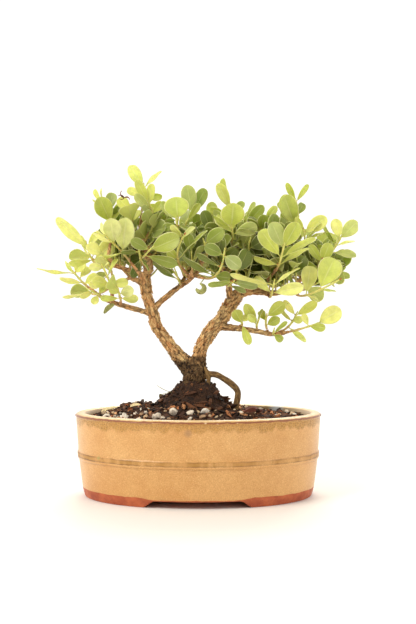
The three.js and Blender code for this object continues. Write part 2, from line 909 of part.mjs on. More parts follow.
function onBlade(leaf, share, across) {
  const width = across * leaf.halfWidth;
  const lift = bladeFold * Math.abs(width) + leaf.arch * leaf.length * share * share;
  return leaf.frame.root
    .clone()
    .addScaledVector(leaf.frame.along, share * leaf.length)
    .addScaledVector(leaf.frame.side, width)
    .addScaledVector(leaf.frame.face, lift);
}

// The forms that a leaf of the rule may take, in order.
function ruledForms(shoot, pair, half, { node, stemAlong, across, depth }, kind, draw) {
  const draws = Array.from({ length: 6 }, draw);
  const [openDraw, turnDraw, rollDraw, lengthDraw, widthDraw, archDraw] = draws;
  const open = degrees(kind.open + leafVariety.open * openDraw);
  const size = shoot.leafLength * kind.size * (1 + leafVariety.size * lengthDraw);
  const ratio = kind.ratio + leafVariety.ratio * widthDraw;
  const turn = shoot.turn + 90 * pair + half + leafVariety.turn * (turnDraw - 0.5);
  const facing = node.clone().sub(crownMiddle).normalize().addScaledVector(stemAlong, lean.along);
  facing.y += node.y < backFrom ? -lean.aside : lean.aside;
  facing.z += lean.up;
  return leafTries.map(([extraTurn, share]) => {
    const angle = degrees(turn + extraTurn);
    const along = stemAlong
      .clone()
      .multiplyScalar(Math.cos(open))
      .addScaledVector(across, Math.sin(open) * Math.cos(angle))
      .addScaledVector(depth, Math.sin(open) * Math.sin(angle));
    along.z += leafLift;
    along.normalize();
    const root = node.clone().addScaledVector(along, rootOffset);
    return {
      frame: leafFrame(root, along, facing, degrees(leafVariety.roll * (rollDraw - 0.5))),
      length: size * share,
      halfWidth: 0.5 * ratio * size * share,
      arch: leafVariety.arch * (archDraw - leafVariety.archMiddle),
      outline: kind.outline,
    };
  });
}

// The forms that a placed leaf may take, in order; all look the same from the front.
function placedForms([tip, width, roll], node, kind) {
  return leanTries.map((share) => {
    const along = new THREE.Vector3(...tip).sub(node);
    along.y += share * along.length();
    const length = along.length();
    along.normalize();
    const root = node.clone().addScaledVector(along, rootOffset);
    const frame = leafFrame(root, along, viewer, degrees(roll));
    return { frame, length, halfWidth: width / 2, arch: 0, outline: kind.outline };
  });
}

// Where leaves may grow on a shoot, in crossed pairs.
function leafSlots(shoot, owner) {
  const draw = drawsFrom(leafSeed * (owner + 1));
  const placed = placedLeaves[owner + 1] ?? [];
  const slots = [];
  for (let pair = 0; pair < shoot.pairs; pair++) {
    const kind = pair < shoot.pairs - 1 ? leafKinds.mature : leafKinds.young;
    const below = placeOf(shoot.stem[pair + 1]);
    const above = placeOf(shoot.stem[pair + 2]);
    const node = below.clone().lerp(above, 0.5);
    const { along: stemAlong, across, depth } = pairFrame(below, above);
    for (const [i, half] of [0, 180].entries()) {
      const ruled = ruledForms(shoot, pair, half, { node, stemAlong, across, depth }, kind, draw);
      const own = placed[2 * pair + i] ?? "rule";
      if (own === "rule") {
        slots.push({ owner, isPlaced: false, forms: ruled });
      } else if (own !== "none") {
        slots.push({ owner, isPlaced: true, forms: placedForms(own, node, kind) });
      }
    }
  }
  return slots;
}

// Leaves of every shoot. Placed ones take their room first, and a leaf without room isn't grown.
function growLeaves() {
  const taken = [
    ...Object.values(limbs).flatMap((route) => ballsAlong(route, -1)),
    ...laidOut.flatMap((shoot, i) => [...ballsAlong(shoot.spur, -1), ...ballsAlong(shoot.stem, i)]),
  ];
  const slots = laidOut.flatMap(leafSlots);
  const grown = laidOut.map(() => []);
  for (const { owner, isPlaced, forms } of [
    ...slots.filter((slot) => slot.isPlaced),
    ...slots.filter((slot) => !slot.isPlaced),
  ]) {
    for (const leaf of forms) {
      const feelers = bladeFeelers.map(([u, v]) => onBlade(leaf, u, v));
      const crowded = feelers.some((feeler) =>
        taken.some((ball) => ball.owner !== owner && feeler.distanceToSquared(ball.at) < ball.reach ** 2),
      );
      if (!crowded) {
        for (const at of feelers) {
          taken.push({ at, reach: bladeClearance, owner: isPlaced ? owner : -1 });
        }
        grown[owner].push(leaf);
        break;
      }
    }
  }
  return grown;
}

// A thin blade, folded along its rib and arched, with both faces split alike.
function bladeOf(leaf) {
  const right = leaf.outline;
  const left = right.map(([u, v]) => [u, -v]).reverse();
  const rim = [[0, 0], ...right, [1, 0], ...left];
  const places = rim.map(([u, v]) => onBlade(leaf, u, v));
  const count = rim.length;
  const tip = right.length + 1;
  const lift = (place, amount) => place.clone().addScaledVector(leaf.frame.face, amount).toArray();
  const points = [
    ...places.map((place) => lift(place, bladeThick / 2)),
    ...places.map((place) => lift(place, -bladeThick / 2)),
  ];
  const triangles = [];
  for (let k = 0; k < count; k++) {
    const next = (k + 1) % count;
    triangles.push([k, next, count + next], [k, count + next, count + k]);
    // Each half is a fan from the tip, with the rib as its last side.
    if (k !== tip && next !== tip) {
      triangles.push([tip, next, k], [count + tip, count + k, count + next]);
    }
  }
  return solidFrom(points, triangles);
}

function makeSpray(shoot, leaves) {
  // The four faces of the stem look along the crossed pairs.
  const corner = degrees(shoot.turn + 45);
  const { across, depth } = pairFrame(placeOf(shoot.stem[0]), placeOf(shoot.stem[1]));
  const start = across.multiplyScalar(Math.cos(corner)).addScaledVector(depth, Math.sin(corner));
  let spray = tubeOf(shoot.stem, 4, 0, 1, start);
  for (const leaf of leaves) {
    spray = spray.add(bladeOf(leaf));
  }
  return spray;
}

const limbPlaces = Object.entries(limbs)
  .filter(([name]) => !bareLimbs.includes(name))
  .flatMap(([, stations]) => smoothRoute(stations, 5).map(placeOf));
const laidOut = shoots.map(layOutShoot);

function makeTrunk() {
  const wood = Object.entries(limbs).map(([name, stations], i) => {
    const sides = thickLimbs.includes(name) ? stemSides : limbSides;
    return tubeOf(stations, sides, barkRoughness, barkSeed + i);
  });
  const roots = [archingRoot, sideRoot].map((root) => tubeOf(root, limbSides, rootRoughness, barkSeed));
  const spurs = laidOut.map((shoot) => tubeOf(shoot.spur, 3, 0, 1));
  return [...wood, ...roots, ...spurs].reduce((trunk, piece) => trunk.add(piece));
}

const bonsai = new THREE.Group();
bonsai.name = "natal_plum_bonsai";
bonsai.add(meshOf("pot", makePot(), materials.pot));
bonsai.add(meshOf("drain_screen_left", makeScreen(-drain.x), materials.screen));
bonsai.add(meshOf("drain_screen_right", makeScreen(drain.x), materials.screen));
bonsai.add(meshOf("soil", makeSoil(), materials.soil));
bonsai.add(meshOf("trunk", makeTrunk(), materials.wood));
growLeaves().forEach((leaves, i) => {
  const name = "spray_" + String(i + 1).padStart(2, "0");
  bonsai.add(meshOf(name, makeSpray(laidOut[i], leaves), materials.leaf));
});

// The origin goes to the middle of the whole footprint.
const reach = new THREE.Box3().setFromObject(bonsai);
bonsai.position.set(-(reach.min.x + reach.max.x) / 2, -(reach.min.y + reach.max.y) / 2, 0);

export default bonsai;
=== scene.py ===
import json
import math

import bmesh
import bpy
import numpy as np
from mathutils import Matrix, Vector, kdtree, noise

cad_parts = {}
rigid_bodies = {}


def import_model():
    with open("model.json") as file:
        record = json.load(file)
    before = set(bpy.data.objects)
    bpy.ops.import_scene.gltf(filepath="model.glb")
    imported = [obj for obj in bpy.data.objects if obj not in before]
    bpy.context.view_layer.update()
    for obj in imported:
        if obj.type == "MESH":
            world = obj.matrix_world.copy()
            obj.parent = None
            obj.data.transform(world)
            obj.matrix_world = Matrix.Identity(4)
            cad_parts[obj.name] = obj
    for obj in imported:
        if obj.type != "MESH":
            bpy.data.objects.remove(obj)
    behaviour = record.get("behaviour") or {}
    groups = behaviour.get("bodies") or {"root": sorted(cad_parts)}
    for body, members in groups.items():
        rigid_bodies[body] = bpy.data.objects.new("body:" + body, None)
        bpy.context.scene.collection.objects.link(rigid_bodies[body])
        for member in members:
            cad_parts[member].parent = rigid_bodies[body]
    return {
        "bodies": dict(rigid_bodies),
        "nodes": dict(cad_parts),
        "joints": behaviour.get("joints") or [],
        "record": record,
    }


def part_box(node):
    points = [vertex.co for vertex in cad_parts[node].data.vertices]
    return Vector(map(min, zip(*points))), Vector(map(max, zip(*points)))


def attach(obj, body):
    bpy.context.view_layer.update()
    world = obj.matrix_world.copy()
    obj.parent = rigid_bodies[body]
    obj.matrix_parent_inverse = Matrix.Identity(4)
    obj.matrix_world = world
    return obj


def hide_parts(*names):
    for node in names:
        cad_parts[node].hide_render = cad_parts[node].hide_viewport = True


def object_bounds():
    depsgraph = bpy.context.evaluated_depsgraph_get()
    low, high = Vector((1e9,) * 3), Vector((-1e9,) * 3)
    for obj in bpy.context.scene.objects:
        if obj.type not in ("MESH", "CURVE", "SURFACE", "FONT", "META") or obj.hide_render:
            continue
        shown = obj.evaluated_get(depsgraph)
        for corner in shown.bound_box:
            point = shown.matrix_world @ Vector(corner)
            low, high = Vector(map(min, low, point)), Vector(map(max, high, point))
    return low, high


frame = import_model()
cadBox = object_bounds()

# Everything below is laid out in millimetres about the middle of the pot, viewer at -Y.
potLow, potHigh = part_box("pot")
potMiddle = np.array([(potLow.x + potHigh.x) / 2, (potLow.y + potHigh.y) / 2, 0.0]) * 1000
upright = np.array([0.0, 0.0, 1.0])


def toFrame(points):
    return (np.asarray(points, float) + potMiddle) * 0.001


def unit(vector):
    return vector / np.linalg.norm(vector)


# The same run of draws from 0 to 1 each time, from a whole-number seed.
def drawsFrom(seed):
    state = seed
    while True:
        state = state * 16807 % 2147483647
        yield state / 2147483647


cameraSettings = {"place": (9.9, -1037, 187), "lens": 58.04, "sensor": 36}


def makeCamera():
    settings = cameraSettings
    camera = bpy.data.objects.new("camera", bpy.data.cameras.new("camera"))
    camera.location = Vector(toFrame(settings["place"]))
    camera.rotation_euler = (math.radians(90), 0, 0)
    camera.data.sensor_width = settings["sensor"]
    camera.data.lens = settings["lens"]
    camera.data.clip_start = 0.01
    bpy.context.scene.collection.objects.link(camera)
    bpy.context.scene.camera = camera


makeCamera()
print("camera ready")


# Helpers for node trees.

def srgb(red, green, blue):
    shares = np.array([red, green, blue]) / 255
    linear = np.where(shares <= 0.04045, shares / 12.92, ((shares + 0.055) / 1.055) ** 2.4)
    return (*linear.tolist(), 1.0)


def plug(tree, value, socket):
    if isinstance(value, bpy.types.NodeSocket):
        tree.links.new(value, socket)
    else:
        socket.default_value = value


def addNode(tree, kind, inputs=None, **settings):
    made = tree.nodes.new(kind)
    for key, value in settings.items():
        setattr(made, key, value)
    for key, value in (inputs or {}).items():
        plug(tree, value, made.inputs[key])
    return made


def addMath(tree, operation, *values, clamp=False):
    inputs = dict(enumerate(values))
    return addNode(tree, "ShaderNodeMath", inputs, operation=operation, use_clamp=clamp).outputs[0]


def times(tree, *values):
    product = values[0]
    for value in values[1:]:
        product = addMath(tree, "MULTIPLY", product, value)
    return product


def mixColor(tree, share, first, second, blend="MIX"):
    inputs = {0: share, 6: first, 7: second}
    return addNode(tree, "ShaderNodeMix", inputs, data_type="RGBA", blend_type=blend).outputs[2]


def mapRange(tree, value, low, high, toLow=0.0, toHigh=1.0, kind="SMOOTHSTEP"):
    inputs = {0: value, 1: low, 2: high, 3: toLow, 4: toHigh}
    return addNode(tree, "ShaderNodeMapRange", inputs, interpolation_type=kind).outputs[0]


def startGroup(name, inputs):
    tree = bpy.data.node_groups.new(name, "ShaderNodeTree")
    for label, value in inputs.items():
        kind = "NodeSocketVector" if value is None else "NodeSocketFloat"
        socket = tree.interface.new_socket(label, in_out="INPUT", socket_type=kind)
        if value is not None:
            socket.default_value = value
    tree.interface.new_socket("Mask", in_out="OUTPUT", socket_type="NodeSocketFloat")
    entry = tree.nodes.new("NodeGroupInput").outputs
    leave = tree.nodes.new("NodeGroupOutput").inputs["Mask"]
    return tree, entry, leave


# Soft cloudy patches.
def makeMottle():
    tree, entry, leave = startGroup("mottle", {"Place": None, "Scale": 50.0, "Detail": 3.0, "Contrast": 0.2})
    inputs = {"Vector": entry["Place"], "Scale": entry["Scale"], "Detail": entry["Detail"], "Roughness": 0.6}
    cloud = addNode(tree, "ShaderNodeTexNoise", inputs).outputs[0]
    low = addMath(tree, "SUBTRACT", 0.5, entry["Contrast"])
    high = addMath(tree, "ADD", 0.5, entry["Contrast"])
    tree.links.new(mapRange(tree, cloud, low, high), leave)
    return tree


# Round dots of mixed places, on a share of the cells only.
def makeSpeckle():
    tree, entry, leave = startGroup("speckle", {"Place": None, "Scale": 500.0, "Size": 0.3, "Share": 0.5})
    cells = addNode(tree, "ShaderNodeTexVoronoi", {"Vector": entry["Place"], "Scale": entry["Scale"]})
    chance = addNode(tree, "ShaderNodeSeparateColor", {"Color": cells.outputs["Color"]}).outputs["Red"]
    core = times(tree, entry["Size"], 0.5)
    dot = mapRange(tree, cells.outputs["Distance"], core, entry["Size"], 1.0, 0.0)
    chosen = addMath(tree, "LESS_THAN", chance, entry["Share"])
    tree.links.new(times(tree, dot, chosen), leave)
    return tree


# What lies above a level, with a wavering edge.
def makeZone():
    settings = {"Place": None, "Height": 0.0, "Level": 0.0, "Softness": 0.001, "Waver": 0.002, "Scale": 40.0}
    tree, entry, leave = startGroup("zoneAbove", settings)
    inputs = {"Vector": entry["Place"], "Scale": entry["Scale"], "Detail": 4.0}
    cloud = addNode(tree, "ShaderNodeTexNoise", inputs).outputs[0]
    swing = times(tree, addMath(tree, "SUBTRACT", cloud, 0.5), entry["Waver"], 2.0)
    height = addMath(tree, "ADD", swing, entry["Height"])
    low = addMath(tree, "SUBTRACT", entry["Level"], entry["Softness"])
    high = addMath(tree, "ADD", entry["Level"], entry["Softness"])
    tree.links.new(mapRange(tree, height, low, high), leave)
    return tree


# Fine cracks between cells.
def makeCrackle():
    tree, entry, leave = startGroup("crackle", {"Place": None, "Scale": 300.0, "Width": 0.08})
    inputs = {"Vector": entry["Place"], "Scale": entry["Scale"]}
    cells = addNode(tree, "ShaderNodeTexVoronoi", inputs, feature="DISTANCE_TO_EDGE")
    tree.links.new(mapRange(tree, cells.outputs["Distance"], 0.0, entry["Width"], 1.0, 0.0), leave)
    return tree


groups = {
    "mottle": makeMottle(),
    "speckle": makeSpeckle(),
    "zone": makeZone(),
    "crackle": makeCrackle(),
}


def useGroup(tree, name, **inputs):
    placed = addNode(tree, "ShaderNodeGroup", node_tree=groups[name])
    for key, value in inputs.items():
        plug(tree, value, placed.inputs[key])
    return placed.outputs["Mask"]


def startMaterial(name, **values):
    material = bpy.data.materials.new(name)
    material.use_nodes = True
    tree = material.node_tree
    shader = tree.nodes["Principled BSDF"]
    for key, value in values.items():
        shader.inputs[key.replace("_", " ")].default_value = value
    place = addNode(tree, "ShaderNodeTexCoord").outputs["Object"]
    return material, tree, shader.inputs, place


def readValue(tree, name):
    return addNode(tree, "ShaderNodeAttribute", attribute_name=name).outputs["Fac"]


def bumpInto(tree, sockets, height, strength, distance):
    inputs = {"Height": height, "Strength": strength, "Distance": distance}
    tree.links.new(addNode(tree, "ShaderNodeBump", inputs).outputs["Normal"], sockets["Normal"])


def stretch(tree, place, x, y, z):
    return addNode(tree, "ShaderNodeMapping", {"Vector": place, "Scale": (x, y, z)}).outputs[0]


# Helpers for meshes.

# Points, faces and values per point, gathered for one piece.
class MeshHeap:
    def __init__(self, *keys):
        self.points = []
        self.faces = []
        self.kinds = []
        self.values = {key: [] for key in keys}
        self.count = 0

    def add(self, points, faces, kind=0, **values):
        self.faces.extend(tuple(self.count + index for index in face) for face in faces)
        self.kinds.extend([kind] * len(faces))
        self.points.append(points)
        for key, gathered in self.values.items():
            gathered.append(np.broadcast_to(values.get(key, 0.0), (len(points),)))
        self.count += len(points)

    def makePiece(self, name, materials, slot, replaced=(), sharp=None):
        mesh = bpy.data.meshes.new(name)
        # Nothing stands outside the box of the solids.
        places = np.clip(toFrame(np.concatenate(self.points)), cadBox[0], cadBox[1])
        mesh.from_pydata(places.tolist(), [], self.faces)
        for key, gathered in self.values.items():
            layer = mesh.attributes.new(key, "FLOAT", "POINT")
            layer.data.foreach_set("value", np.concatenate(gathered).astype(np.float32))
        for material in materials:
            mesh.materials.append(material)
        mesh.polygons.foreach_set("material_index", np.array(self.kinds, np.int32))
        mesh.shade_smooth()
        if sharp:
            mesh.set_sharp_from_angle(angle=math.radians(sharp))
        mesh.update()
        piece = bpy.data.objects.new(name, mesh)
        bpy.context.scene.collection.objects.link(piece)
        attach(piece, "root")
        if replaced:
            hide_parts(*replaced)
        return piece


# Faces of a skin over rings of equal length, closed at both ends.
def ringFaces(ringCount, segments):
    faces = []
    for ring in range(ringCount - 1):
        base = ring * segments
        for k in range(segments):
            after = (k + 1) % segments
            faces.append((base + k, base + after, base + segments + after, base + segments + k))
    faces.append(tuple(reversed(range(segments))))
    last = (ringCount - 1) * segments
    faces.append(tuple(range(last, last + segments)))
    return faces


# A closed tube along x, y, z, radius stations.
def tubeSkin(route, sides, start=(0.2, -1, 0.1)):
    route = np.asarray(route, float)
    angles = 2 * np.pi * np.arange(sides) / sides
    across = np.array(start, float)
    rings = []
    for i, station in enumerate(route):
        along = unit(route[min(i + 1, len(route) - 1), :3] - route[max(i - 1, 0), :3])
        across = unit(across - along * across.dot(along))
        circle = np.outer(np.cos(angles), across) + np.outer(np.sin(angles), np.cross(along, across))
        rings.append(station[:3] + station[3] * circle)
    return np.concatenate(rings), ringFaces(len(route), sides)


# Pot.

potSettings = {
    "halfLength": 127,
    "halfWidth": 95,
    "segments": 320,
    "cornerSteps": 5,
    # Inset from the rim's oval, height, and how far the corner there is rounded.
    "profile": [
        (20.5, 7, 0.6), (20, 0, 0.8), (10.5, 0, 1.2), (8.2, 8, 2.5), (4.3, 38, 0.5), (3.1, 39, 0.6),
        (2.6, 45.2, 0.8), (3.6, 46.2, 0.6), (1.4, 80.6, 0.9), (0, 81.8, 0.7), (3, 84.4, 1.6),
        (7.5, 85, 2), (10.8, 84.2, 1.5), (12, 81, 2), (18.5, 22, 7), (23.5, 14.5, 4), (30, 13, 2),
    ],
    "innerRow": 11,
    "discShares": (0.78, 0.52, 0.26, 0.04),
    "gapTop": 7,
    "gapHalfTop": 42,
    "gapHalfGround": 52,
    "wobble": 0.3,
    "drainX": 45,
    "drainRadius": 8,
    # Heights in metres where the glaze changes, and the fine olive lines with their strengths.
    "levels": {"clay": 0.0082, "strip": 0.0431, "underRim": 0.0745, "breakLine": 0.0825, "lip": 0.0835},
    "oliveLines": [(0.0451, 0.8), (0.0411, 1.0), (0.0375, 0.2)],
    # Stray marks in the glaze and one painted reflection: place, radius, colour, strength.
    "marksAndPaintedReflection": [
        ((-8.8, -94, 72.8), 0.0055, srgb(150, 112, 78), 0.6),
        ((16.5, -94.5, 79.4), 0.0016, srgb(96, 66, 30), 0.8),
        ((-98, -59, 45.2), 0.004, srgb(150, 160, 84), 0.7),
        # A painted reflection: a bluish-grey sheen on the inner back wall under the rim.
        ((85, 57.5, 82.2), 0.012, srgb(196, 204, 212), 0.8),
    ],
}


# Rows of inset and height with each corner bent round, and whether the row is inside.
def roundedProfile():
    profile = potSettings["profile"]
    steps = potSettings["cornerSteps"]
    rows = [(*profile[0][:2], 0)]
    for i in range(1, len(profile) - 1):
        before, corner, after = (np.array(profile[k][:2], float) for k in (i - 1, i, i + 1))
        back = before - corner
        ahead = after - corner
        cut = min(profile[i][2], 0.48 * np.linalg.norm(back), 0.48 * np.linalg.norm(ahead))
        start = corner + unit(back) * cut
        end = corner + unit(ahead) * cut
        for t in np.linspace(0, 1, steps + 1):
            inset, height = start * (1 - t) ** 2 + corner * 2 * t * (1 - t) + end * t**2
            rows.append((inset, height, 1 if i > potSettings["innerRow"] else 0))
    rows.append((*profile[-1][:2], 1))
    return rows


def makeGlaze():
    material, tree, sockets, place = startMaterial("speckledGlaze", Coat_Weight=0.25, Coat_Roughness=0.12)
    split = addNode(tree, "ShaderNodeSeparateXYZ", {"Vector": place}).outputs
    sideways, height = split["X"], split["Z"]
    inside = readValue(tree, "inside")
    endwards = addMath(tree, "ABSOLUTE", sideways)
    drawn = stretch(tree, place, 1.0, 1.0, 0.35)
    levels = potSettings["levels"]

    def zone(level, softness, waver, scale, over=place, above=height):
        return useGroup(
            tree, "zone", Place=over, Height=above, Level=level, Softness=softness, Waver=waver, Scale=scale
        )

    def lineAt(level, reach, softness, waver, scale):
        above = zone(level - reach, softness, waver, scale)
        return addMath(tree, "SUBTRACT", above, zone(level + reach, softness, waver, scale), clamp=True)

    # Tan body with a fine light and dark grain.
    cloudy = useGroup(tree, "mottle", Place=place, Scale=28.0, Detail=4.0, Contrast=0.25)
    body = mixColor(tree, cloudy, srgb(212, 156, 88), srgb(228, 178, 112))
    grain = useGroup(tree, "mottle", Place=place, Scale=900.0, Detail=2.0, Contrast=0.2)
    body = mixColor(tree, times(tree, grain, 0.5), body, srgb(184, 126, 62))
    light = useGroup(tree, "speckle", Place=place, Scale=620.0, Size=0.3, Share=0.35)
    body = mixColor(tree, times(tree, light, 0.45), body, srgb(255, 218, 158))

    # Olive crackled band under the rim, and an olive strip between fine lines along the raised band.
    olive = mixColor(tree, grain, srgb(192, 138, 48), srgb(146, 98, 32))
    cracks = useGroup(tree, "crackle", Place=place, Scale=420.0, Width=0.16)
    olive = mixColor(tree, times(tree, cracks, 0.4), olive, srgb(222, 176, 104))
    underRim = zone(levels["underRim"], 0.0022, 0.008, 130.0, drawn)
    ends = mapRange(tree, endwards, 0.03, 0.11, 0.72, 1.0)
    body = mixColor(tree, times(tree, underRim, ends), body, olive)
    patchy = useGroup(tree, "mottle", Place=drawn, Scale=70.0, Detail=3.0, Contrast=0.16)
    kept = addMath(tree, "MULTIPLY_ADD", patchy, 0.8, 0.2)
    strip = times(tree, lineAt(levels["strip"], 0.0021, 0.0006, 0.0009, 150.0), kept, 0.9)
    body = mixColor(tree, strip, body, srgb(172, 122, 46))
    for level, strength in potSettings["oliveLines"]:
        line = times(tree, lineAt(level, 0.0006, 0.0004, 0.0009, 150.0), kept, ends, strength)
        body = mixColor(tree, line, body, srgb(126, 84, 28))

    # Pale worn lip with a reddish-brown break line at its outer edge.
    lip = zone(levels["lip"], 0.0004, 0.0006, 120.0)
    body = mixColor(tree, lip, body, mixColor(tree, cloudy, srgb(240, 208, 156), srgb(214, 172, 112)))
    outside = addMath(tree, "SUBTRACT", 1.0, inside)
    breakLine = times(tree, lineAt(levels["breakLine"], 0.0007, 0.0004, 0.0012, 160.0), outside, 0.95)
    chipped = useGroup(tree, "speckle", Place=place, Scale=260.0, Size=0.4, Share=0.3)
    worn = mixColor(tree, times(tree, chipped, 0.8), srgb(138, 74, 46), srgb(240, 214, 176))
    body = mixColor(tree, breakLine, body, worn)
    innerWall = mixColor(tree, cloudy, srgb(122, 96, 42), srgb(160, 126, 64))
    farEnds = mapRange(tree, endwards, 0.07, 0.115, 0.0, 0.8)
    innerWall = mixColor(tree, farEnds, innerWall, srgb(222, 194, 158))
    body = mixColor(tree, times(tree, inside, addMath(tree, "SUBTRACT", 1.0, lip)), body, innerWall)

    # Iron specks, stray marks and a painted reflection.
    specks = useGroup(tree, "speckle", Place=place, Scale=75.0, Size=0.055, Share=0.3)
    body = mixColor(tree, times(tree, specks, 0.7), body, srgb(92, 62, 34))
    for spot, radius, color, strength in potSettings["marksAndPaintedReflection"]:
        inputs = {0: place, 1: tuple(toFrame(spot))}
        away = addNode(tree, "ShaderNodeVectorMath", inputs, operation="DISTANCE").outputs["Value"]
        body = mixColor(tree, mapRange(tree, away, radius * 0.2, radius, strength, 0.0), body, color)

    # Bare clay below the glaze, a little taller on the feet.
    onFeet = mapRange(tree, endwards, 0.042, 0.056, 0.0, 0.0014)
    aboveClay = addMath(tree, "SUBTRACT", height, onFeet)
    glazed = zone(levels["clay"], 0.0003, 0.0016, 70.0, above=aboveClay)
    clayCloud = useGroup(tree, "mottle", Place=place, Scale=90.0, Detail=5.0, Contrast=0.22)
    clay = mixColor(tree, clayCloud, srgb(158, 70, 38), srgb(196, 104, 60))
    grit = useGroup(tree, "speckle", Place=place, Scale=400.0, Size=0.22, Share=0.2)
    clay = mixColor(tree, times(tree, grit, 0.6), clay, srgb(112, 52, 30))
    plug(tree, mixColor(tree, glazed, clay, body), sockets["Base Color"])
    roughness = mapRange(tree, glazed, 0.0, 1.0, 0.82, 0.3, "LINEAR")
    roughness = addMath(tree, "MULTIPLY_ADD", strip, 0.3, roughness)
    plug(tree, addMath(tree, "MULTIPLY_ADD", grain, 0.12, roughness), sockets["Roughness"])
    relief = addMath(tree, "MULTIPLY_ADD", grain, 0.25, glazed)
    bumpInto(tree, sockets, addMath(tree, "MULTIPLY_ADD", cloudy, 0.8, relief), 0.35, 0.0003)
    return material


def makePot():
    settings = potSettings
    segments = settings["segments"]
    angles = 2 * np.pi * np.arange(segments) / segments
    ring = np.stack([np.cos(angles), np.sin(angles)], axis=1)
    rows = roundedProfile()
    allRows = [(*rows[0], share) for share in reversed(settings["discShares"])]
    allRows += [(*row, 1) for row in rows]
    allRows += [(*rows[-1], share) for share in settings["discShares"]]
    points = []
    inside = []
    for inset, height, isInside, share in allRows:
        flat = ring * (settings["halfLength"] - inset, settings["halfWidth"] - inset) * share
        heights = np.full(segments, float(height))
        if height < settings["gapTop"]:
            slope = settings["gapHalfGround"] - np.abs(flat[:, 0])
            slope = slope / (settings["gapHalfGround"] - settings["gapHalfTop"])
            heights = np.maximum(heights, settings["gapTop"] * np.clip(slope, 0, 1))
        for (x, y), z in zip(flat, heights):
            pull = 0.5 + 0.5 * noise.noise(Vector((x / 30, y / 30, z / 22)))
            pull = 1 - settings["wobble"] / 100 * pull
            points.append((x * pull, y * pull, z))
            inside.append(isInside)
    heap = MeshHeap("inside")
    heap.add(points, ringFaces(len(allRows), segments), inside=np.array(inside, float))
    pot = heap.makePiece("glazedPot", [makeGlaze()], "glaze", ["pot"], sharp=50)
    for x in (-settings["drainX"], settings["drainX"]):
        bpy.ops.mesh.primitive_cylinder_add(
            vertices=40, radius=settings["drainRadius"] / 1000, depth=0.04, location=toFrame((x, 0, 12))
        )
        drill = bpy.context.object
        hole = pot.modifiers.new("drainHole", "BOOLEAN")
        hole.operation = "DIFFERENCE"
        hole.object = drill
        bpy.context.view_layer.objects.active = pot
        bpy.ops.object.modifier_apply(modifier=hole.name)
        bpy.data.objects.remove(drill)


makePot()
print("pot ready")


# Drain screens keep their solids and get a plastic finish.

def makeScreenPlastic():
    material, tree, sockets, place = startMaterial("screenPlastic")
    dusty = useGroup(tree, "mottle", Place=place, Scale=160.0, Detail=4.0, Contrast=0.2)
    plug(tree, mixColor(tree, dusty, srgb(34, 36, 40), srgb(70, 62, 54)), sockets["Base Color"])
    plug(tree, mapRange(tree, dusty, 0.0, 1.0, 0.45, 0.8), sockets["Roughness"])
    return material


screenPlastic = makeScreenPlastic()
for name in ("drain_screen_left", "drain_screen_right"):
    finish = frame["nodes"][name].material_slots[0]
    finish.link = "OBJECT"
    finish.material = screenPlastic


# Soil.

soilSettings = {
    "level": 79,
    "wall": [(30.4, 13.5), (24.1, 15.1), (19.1, 22.2)],
    "edgeInset": 12.7,
    "rings": 70,
    "segments": 240,
    "mound": {"x": -1, "core": 19, "coreRadius": 23.5, "skirt": 17, "skirtRadius": 50},
    "heap": {"x": -72, "y": 6, "height": 9, "spreadX": 30, "spreadY": 40},
    "ripples": [(1.1, 0.21, 0.27), (0.7, 0.33, -0.24), (0.7, 0.5, -0.3)],
    "crumble": 1.6,
    "lumps": 1.8,
    "bank": {"x": -31, "y": -4, "height": 8, "spread": 11},  # loose crumbs against the mound's left
}
soilHalves = np.array([
    potSettings["halfLength"] - soilSettings["edgeInset"],
    potSettings["halfWidth"] - soilSettings["edgeInset"],
])


# Height of the soil; rim is 1 at the pot's wall and 0 in the middle.
def soilHeight(x, y, rim):
    settings = soilSettings
    mound = settings["mound"]
    heap = settings["heap"]
    fromTrunk = np.hypot(x - mound["x"], y)
    core = mound["core"] / (1 + (fromTrunk / mound["coreRadius"]) ** 8)
    skirt = mound["skirt"] * np.exp(-((fromTrunk / mound["skirtRadius"]) ** 2))
    away = ((x - heap["x"]) / heap["spreadX"]) ** 2 + ((y - heap["y"]) / heap["spreadY"]) ** 2
    heaped = heap["height"] * np.exp(-away)
    rippled = sum(height * np.sin(alongX * x + alongY * y) for height, alongX, alongY in settings["ripples"])
    return settings["level"] + core + heaped * (1 - rim**6) + (skirt + rippled) * (1 - rim**4)


# The same with its lumps and crumbs.
def roughSoilHeight(x, y):
    rim = min(1.0, math.hypot(x / soilHalves[0], y / soilHalves[1]))
    bank = soilSettings["bank"]
    away = ((x - bank["x"]) ** 2 + (y - bank["y"]) ** 2) / bank["spread"] ** 2
    banked = bank["height"] * math.exp(-away * away)
    crumbs = noise.fractal(Vector((x / 5, y / 5, 0)), 0.8, 2.1, 4) * soilSettings["crumble"]
    lumps = noise.noise(Vector((x / 9, y / 9, 3))) * soilSettings["lumps"]
    return soilHeight(x, y, rim) + banked + (crumbs + lumps) * (1 - rim**8)


def makeSoilMaterial(name, dark, light, bits):
    material, tree, sockets, place = startMaterial(name, Roughness=0.95)
    crumbs = useGroup(tree, "mottle", Place=place, Scale=420.0, Detail=5.0, Contrast=0.16)
    patches = useGroup(tree, "mottle", Place=place, Scale=70.0, Detail=3.0, Contrast=0.2)
    color = mixColor(tree, crumbs, dark, light)
    color = mixColor(tree, times(tree, patches, 0.4), color, bits)
    plug(tree, color, sockets["Base Color"])
    bumpInto(tree, sockets, crumbs, 0.8, 0.001)
    return material


